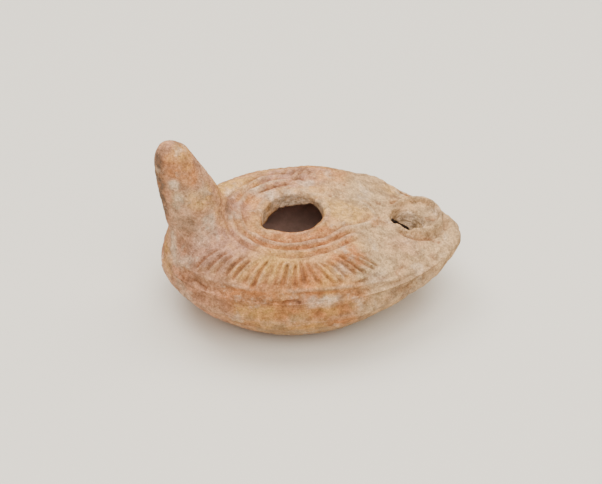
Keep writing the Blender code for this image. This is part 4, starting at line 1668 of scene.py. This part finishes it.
@dataclass(frozen=True)
class FiredClay:
    """The outside: orange to buff clay with pink and grey crust, dirt and painted shade in the carving, a
    painted highlight on worn ridges, and painted light and shade in a few patches.
    """

    buff: Colour = (0.54, 0.28, 0.112)
    orange: Colour = (0.46, 0.172, 0.055)
    pink: Colour = (0.45, 0.225, 0.135)
    grey: Colour = (0.50, 0.315, 0.155)
    ochre: Colour = (0.56, 0.30, 0.08)
    # Crust colour, also used for the painted highlight on worn ridges and the painted light on the filling
    # hole's far wall.
    crust: Colour = (0.64, 0.45, 0.29)
    # Grime colour, also used for painted shade on the handle's back edge and the lower bowl.
    grime: Colour = (0.17, 0.10, 0.06)
    # Dirt colour, also used for painted shade in grooves and pits.
    dirt_and_shade: Colour = (0.20, 0.078, 0.032)
    # Painted shade: near-black for the band in the wick hole where the dark inside shows through.
    soot: Colour = (0.024, 0.013, 0.009)
    orange_patches: Patch = Patch(45.0, 0.5, 0.12)
    ochre_patches: Patch = Patch(85.0, 0.42, 0.07, 0.6)
    pink_patches: Patch = Patch(60.0, 0.62, 0.10, 0.7)
    crust_patches: Patch = Patch(130.0, 0.25, 0.06, 0.5)
    grey_after: Range = (0.012, 0.026)
    pink_before: Range = (-0.006, -0.020)
    bowl_before: Range = (0.028, 0.014)
    bowl_below: Range = (0.031, 0.024)
    bowl_orange: float = 0.75
    wander: float = 0.022
    # How far grooves and pits darken: dirt and painted shade.
    groove_dirt_and_shade: float = 0.62
    pit_dirt_and_shade: float = 0.6
    dot_dirt: float = 0.45
    # How far worn ridges pale: crust and a painted highlight.
    ridge_crust_and_highlight: float = 0.26
    mottle_scale: float = 330.0
    mottle_shades: Range = (0.70, 1.25)
    speckle_scale: float = 1100.0
    speckle_shades: Range = (0.76, 1.16)
    grit_scale: float = 2100.0
    grit_shades: Range = (0.80, 1.16)
    dot_scale: float = 1350.0
    grain_scale: float = 1500.0
    grain_coarse: float = 520.0
    grain_strength: float = 0.75
    grain_height: float = 0.0006
    specular: float = 0.25
    roughness: float = 0.88
    roughness_below: float = 0.06
    roughness_above: float = 0.08

    def build(self, patch: bpy.types.NodeTree) -> bpy.types.Material:
        """Build the material.

        Args:
            patch: The group that makes ragged patches.

        Returns:
            The material.
        """
        material, sheet, shader = new_material("fired_clay_worn")
        place = sheet.add("ShaderNodeTexCoord").outputs["Object"]
        colour = self._body_colour(sheet, patch, place)
        colour = self._stain_and_painted_light_colour(sheet, place, colour)
        crust = self.crust_patches.place(sheet, patch, place)
        colour = sheet.mix(crust, colour, self.crust)
        colour = self._carving_colour(sheet, place, colour)
        sheet.link(self._grain_colour(sheet, place, colour), shader.inputs["Base Color"])
        shader.inputs["Specular IOR Level"].default_value = self.specular
        ends = (self.roughness - self.roughness_below, self.roughness + self.roughness_above)
        rough = sheet.span(sheet.noise(place, 240.0, 3.0), 0.3, 0.7, ends)
        sheet.link(rough, shader.inputs["Roughness"])
        sheet.link(self._bump(sheet, place), shader.inputs["Normal"])
        return material

    def _body_colour(self, sheet: NodeSheet, patch: bpy.types.NodeTree, place: Socket) -> Socket:
        """Lay on the broad colours of the clay.

        Args:
            sheet: The material's nodes.
            patch: The group that makes ragged patches.
            place: Where they are read.

        Returns:
            The colour.
        """
        axes = sheet.add("ShaderNodeSeparateXYZ")
        sheet.link(place, axes.inputs["Vector"])
        drift = sheet.noise(place, 70.0, 4.0)
        moved = sheet.math("MULTIPLY_ADD", drift, self.wander, -self.wander / 2)
        along = sheet.math("ADD", axes.outputs["X"], moved)
        high = sheet.math("ADD", axes.outputs["Z"], moved)
        grey_end = sheet.span(along, *self.grey_after)
        low = sheet.span(high, *self.bowl_below)
        bowl = sheet.math("MULTIPLY", low, sheet.span(along, *self.bowl_before))
        left = sheet.span(along, *self.pink_before)
        colour = sheet.mix(self.orange_patches.place(sheet, patch, place), self.buff, self.orange)
        colour = sheet.mix(sheet.math("MULTIPLY", bowl, self.bowl_orange), colour, self.orange)
        colour = sheet.mix(self.ochre_patches.place(sheet, patch, place), colour, self.ochre)
        pink = sheet.math("MULTIPLY", left, self.pink_patches.place(sheet, patch, place))
        colour = sheet.mix(pink, colour, self.pink)
        grey = sheet.math("MULTIPLY", grey_end, sheet.span(drift, 0.25, 0.6, (0.55, 0.95)))
        return sheet.mix(grey, colour, self.grey)

    def _stain_and_painted_light_colour(self, sheet: NodeSheet, place: Socket, colour: Socket) -> Socket:
        """Lay on the stains, painted light and painted shade that the mesh keeps, with frayed edges.

        Args:
            sheet: The material's nodes.
            place: Where the fraying is read.
            colour: The colour so far.

        Returns:
            The colour.
        """
        colours = {
            Tone.ORANGE: self.orange,
            Tone.ROSE: self.pink,
            Tone.GREY: self.grey,
            Tone.OCHRE: self.ochre,
            Tone.PALE: self.crust,
            Tone.GRIME_AND_SHADE: self.grime,
            Tone.SLIT_SHADE: self.soot,
        }
        fray = sheet.span(sheet.noise(place, 420.0, 5.0, 0.7), 0.30, 0.62, (0.35, 1.1))
        for tone in Tone:
            cover = sheet.math("MULTIPLY", sheet.attribute(tone.value), fray)
            colour = sheet.mix(cover, colour, colours[tone])
        return colour

    def _carving_colour(self, sheet: NodeSheet, place: Socket, colour: Socket) -> Socket:
        """Darken grooves and pits with dirt and painted shade, and pale the worn ridges with crust and a
        painted highlight.

        Args:
            sheet: The material's nodes.
            place: Where the speckle of the groove darkening is read.
            colour: The colour so far.

        Returns:
            The colour.
        """
        carved = sheet.attribute("carved")
        speckle = sheet.noise(place, self.speckle_scale, 4.0)
        # Painted shade and dirt in the grooves.
        deep = sheet.span(carved, -0.06, -0.80, (0.0, self.groove_dirt_and_shade))
        deep = sheet.math("MULTIPLY", deep, sheet.span(speckle, 0.2, 0.6, (0.65, 1.0)))
        colour = sheet.mix(deep, colour, self.dirt_and_shade)
        # Painted shade and dirt in the pits.
        pits = sheet.span(sheet.attribute("worn"), -0.12, -0.50, (0.0, self.pit_dirt_and_shade))
        colour = sheet.mix(pits, colour, self.dirt_and_shade)
        # Painted highlight and crust on the worn ridges.
        ridge = sheet.span(carved, 0.12, 0.8, (0.0, self.ridge_crust_and_highlight))
        return sheet.mix(ridge, colour, self.crust)

    def _grain_colour(self, sheet: NodeSheet, place: Socket, colour: Socket) -> Socket:
        """Shade the sandy grain and its dark dots.

        Args:
            sheet: The material's nodes.
            place: Where the grain is read.
            colour: The colour so far.

        Returns:
            The colour.
        """
        speckle = sheet.noise(place, self.speckle_scale, 4.0)
        speckle = sheet.span(speckle, 0.3, 0.72, self.speckle_shades)
        mottle = sheet.noise(place, self.mottle_scale, 6.0, 0.68)
        mottle = sheet.span(mottle, 0.34, 0.64, self.mottle_shades)
        grit = sheet.noise(place, self.grit_scale, 2.0)
        grit = sheet.span(grit, 0.3, 0.68, self.grit_shades)
        tone = sheet.math("MULTIPLY", sheet.math("MULTIPLY", speckle, mottle), grit)
        dots = sheet.span(sheet.noise(place, self.dot_scale, 2.0), 0.60, 0.70, (0.0, self.dot_dirt))
        colour = sheet.mix(dots, colour, self.dirt_and_shade)
        shade = sheet.add("ShaderNodeCombineColor")
        for target in shade.inputs[:3]:
            sheet.link(tone, target)
        return sheet.mix(1.0, colour, shade.outputs["Color"], "MULTIPLY")

    def _bump(self, sheet: NodeSheet, place: Socket) -> Socket:
        """Raise the sandy grain.

        Args:
            sheet: The material's nodes.
            place: Where the grain is read.

        Returns:
            The normal.
        """
        fine = sheet.noise(place, self.grain_scale, 3.0)
        coarse = sheet.noise(place, self.grain_coarse, 4.0)
        total = sheet.math("MULTIPLY_ADD", coarse, 1.6, fine)
        return sheet.bump(total, self.grain_strength, self.grain_height)


@dataclass(frozen=True)
class SootedClay:
    """The inside, dark with old oil and lamp black."""

    dark: Colour = (0.35, 0.21, 0.16)
    brown: Colour = (0.46, 0.275, 0.21)
    roughness: float = 0.95
    grain_scale: float = 600.0
    grain_strength: float = 0.5
    grain_height: float = 0.0005

    def build(self) -> bpy.types.Material:
        """Build the material.

        Returns:
            The material.
        """
        material, sheet, shader = new_material("sooted_clay")
        place = sheet.add("ShaderNodeTexCoord").outputs["Object"]
        share = sheet.span(sheet.noise(place, 160.0, 5.0), 0.4, 0.65)
        sheet.link(sheet.mix(share, self.dark, self.brown), shader.inputs["Base Color"])
        shader.inputs["Roughness"].default_value = self.roughness
        grain = sheet.noise(place, self.grain_scale, 4.0)
        bump = sheet.bump(grain, self.grain_strength, self.grain_height)
        sheet.link(bump, shader.inputs["Normal"])
        return material


@dataclass(frozen=True)
class Lamp:
    """The whole lamp, dressed and put in place of its plain solid."""

    clay: FiredClay = FiredClay()
    soot: SootedClay = SootedClay()

    def build(self) -> bpy.types.Object:
        """Build, dress and place the lamp.

        Returns:
            The lamp's object.
        """
        body = BodyForm.from_frame()
        handle = HandleForm(top=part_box(NODE)[1][2] / MM)
        piece = LampMesh(body, handle).build()
        materials = {Skin.OUTSIDE: self.clay.build(patch_group()), Skin.INSIDE: self.soot.build()}
        for skin, material in materials.items():
            piece.data.materials[skin.value] = material
        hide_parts(NODE)
        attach(piece, "root")
        return piece


@dataclass(frozen=True)
class Camera:
    """The camera at the photograph's viewing angle."""

    turn: float = math.radians(6.86)
    tilt: float = math.radians(44.41)
    distance: float = 0.45
    target: Place = (0.0042, 0.0, 0.0)
    frame_size: tuple[int, int] = (602, 484)
    focal_pixels: float = 1334.1
    target_pixel: tuple[float, float] = (297.3, 290.7)
    sensor: float = 36.0

    def build(self) -> bpy.types.Object:
        """Build the camera and make it the scene's own.

        Returns:
            The camera's object.
        """
        level = math.cos(self.tilt)
        look = Vector((math.sin(self.turn) * level, math.cos(self.turn) * level, -math.sin(self.tilt)))
        data = bpy.data.cameras.new("camera")
        camera = bpy.data.objects.new("camera", data)
        bpy.context.scene.collection.objects.link(camera)
        camera.location = Vector(self.target) - look * self.distance
        camera.rotation_euler = look.to_track_quat("-Z", "Y").to_euler()
        wide, high = self.frame_size
        data.sensor_width = self.sensor
        data.lens = self.focal_pixels / wide * self.sensor
        data.shift_x = (wide / 2 - self.target_pixel[0]) / wide
        data.shift_y = (self.target_pixel[1] - high / 2) / wide
        bpy.context.scene.camera = camera
        return camera


@dataclass(frozen=True)
class Studio:
    """A plain pale floor under soft light from above and behind."""

    floor_half: float = 2.0
    floor_colour: Colour = (0.76, 0.705, 0.60)
    floor_roughness: float = 0.7
    sky: Colour = (1.0, 0.965, 0.915)
    sky_strength: float = 0.63
    lights: tuple[tuple[Place, float, float], ...] = (
        ((-0.30, 0.35, 1.05), 0.7, 9.5),
        ((0.35, 0.25, 1.05), 0.7, 8.0),
        ((0.05, -0.50, 0.95), 0.9, 11.0),
    )

    def build(self) -> bpy.types.Object:
        """Build the floor, the sky and the lights.

        Returns:
            The floor's object.
        """
        self._sky()
        for order, (place, size, power) in enumerate(self.lights):
            self._light(f"soft_light_{order}", Vector(place), size, power)
        return self._floor()

    def _sky(self) -> None:
        """Fill the room with even light."""
        world = bpy.data.worlds.new("studio")
        world.use_nodes = True
        background = world.node_tree.nodes["Background"]
        background.inputs["Color"].default_value = (*self.sky, 1.0)
        background.inputs["Strength"].default_value = self.sky_strength
        bpy.context.scene.world = world

    @staticmethod
    def _light(name: str, place: Vector, size: float, power: float) -> None:
        """Hang one soft light that points at the lamp.

        Args:
            name: The light's name.
            place: Where it hangs.
            size: Its diameter in metres.
            power: Its power in watts.
        """
        data = bpy.data.lights.new(name, "AREA")
        data.shape = "DISK"
        data.size = size
        data.energy = power
        light = bpy.data.objects.new(name, data)
        light.location = place
        light.rotation_euler = (-place).to_track_quat("-Z", "Y").to_euler()
        bpy.context.scene.collection.objects.link(light)

    def _floor(self) -> bpy.types.Object:
        """Lay the floor under the lamp.

        Returns:
            The floor's object.
        """
        half = self.floor_half
        corners = [(-half, -half, 0.0), (half, -half, 0.0), (half, half, 0.0), (-half, half, 0.0)]
        mesh = bpy.data.meshes.new("floor")
        mesh.from_pydata(corners, [], [(0, 1, 2, 3)])
        floor = bpy.data.objects.new("floor", mesh)
        bpy.context.scene.collection.objects.link(floor)
        material, sheet, shader = new_material("pale_floor")
        sheet.feed(shader.inputs["Base Color"], self.floor_colour)
        sheet.feed(shader.inputs["Roughness"], self.floor_roughness)
        mesh.materials.append(material)
        return floor


def main() -> None:
    """Build the camera, the studio and the lamp, and report each."""
    logging.basicConfig(level=logging.INFO, format="%(name)s: %(message)s")
    camera = Camera().build()
    LOG.info("camera at %s", tuple(round(value, 3) for value in camera.location))
    floor = Studio().build()
    LOG.info("%s laid", floor.name)
    lamp = Lamp().build()
    LOG.info("%s: %d vertices, %d faces", lamp.name, len(lamp.data.vertices), len(lamp.data.polygons))


if __name__ == "__main__":
    main()
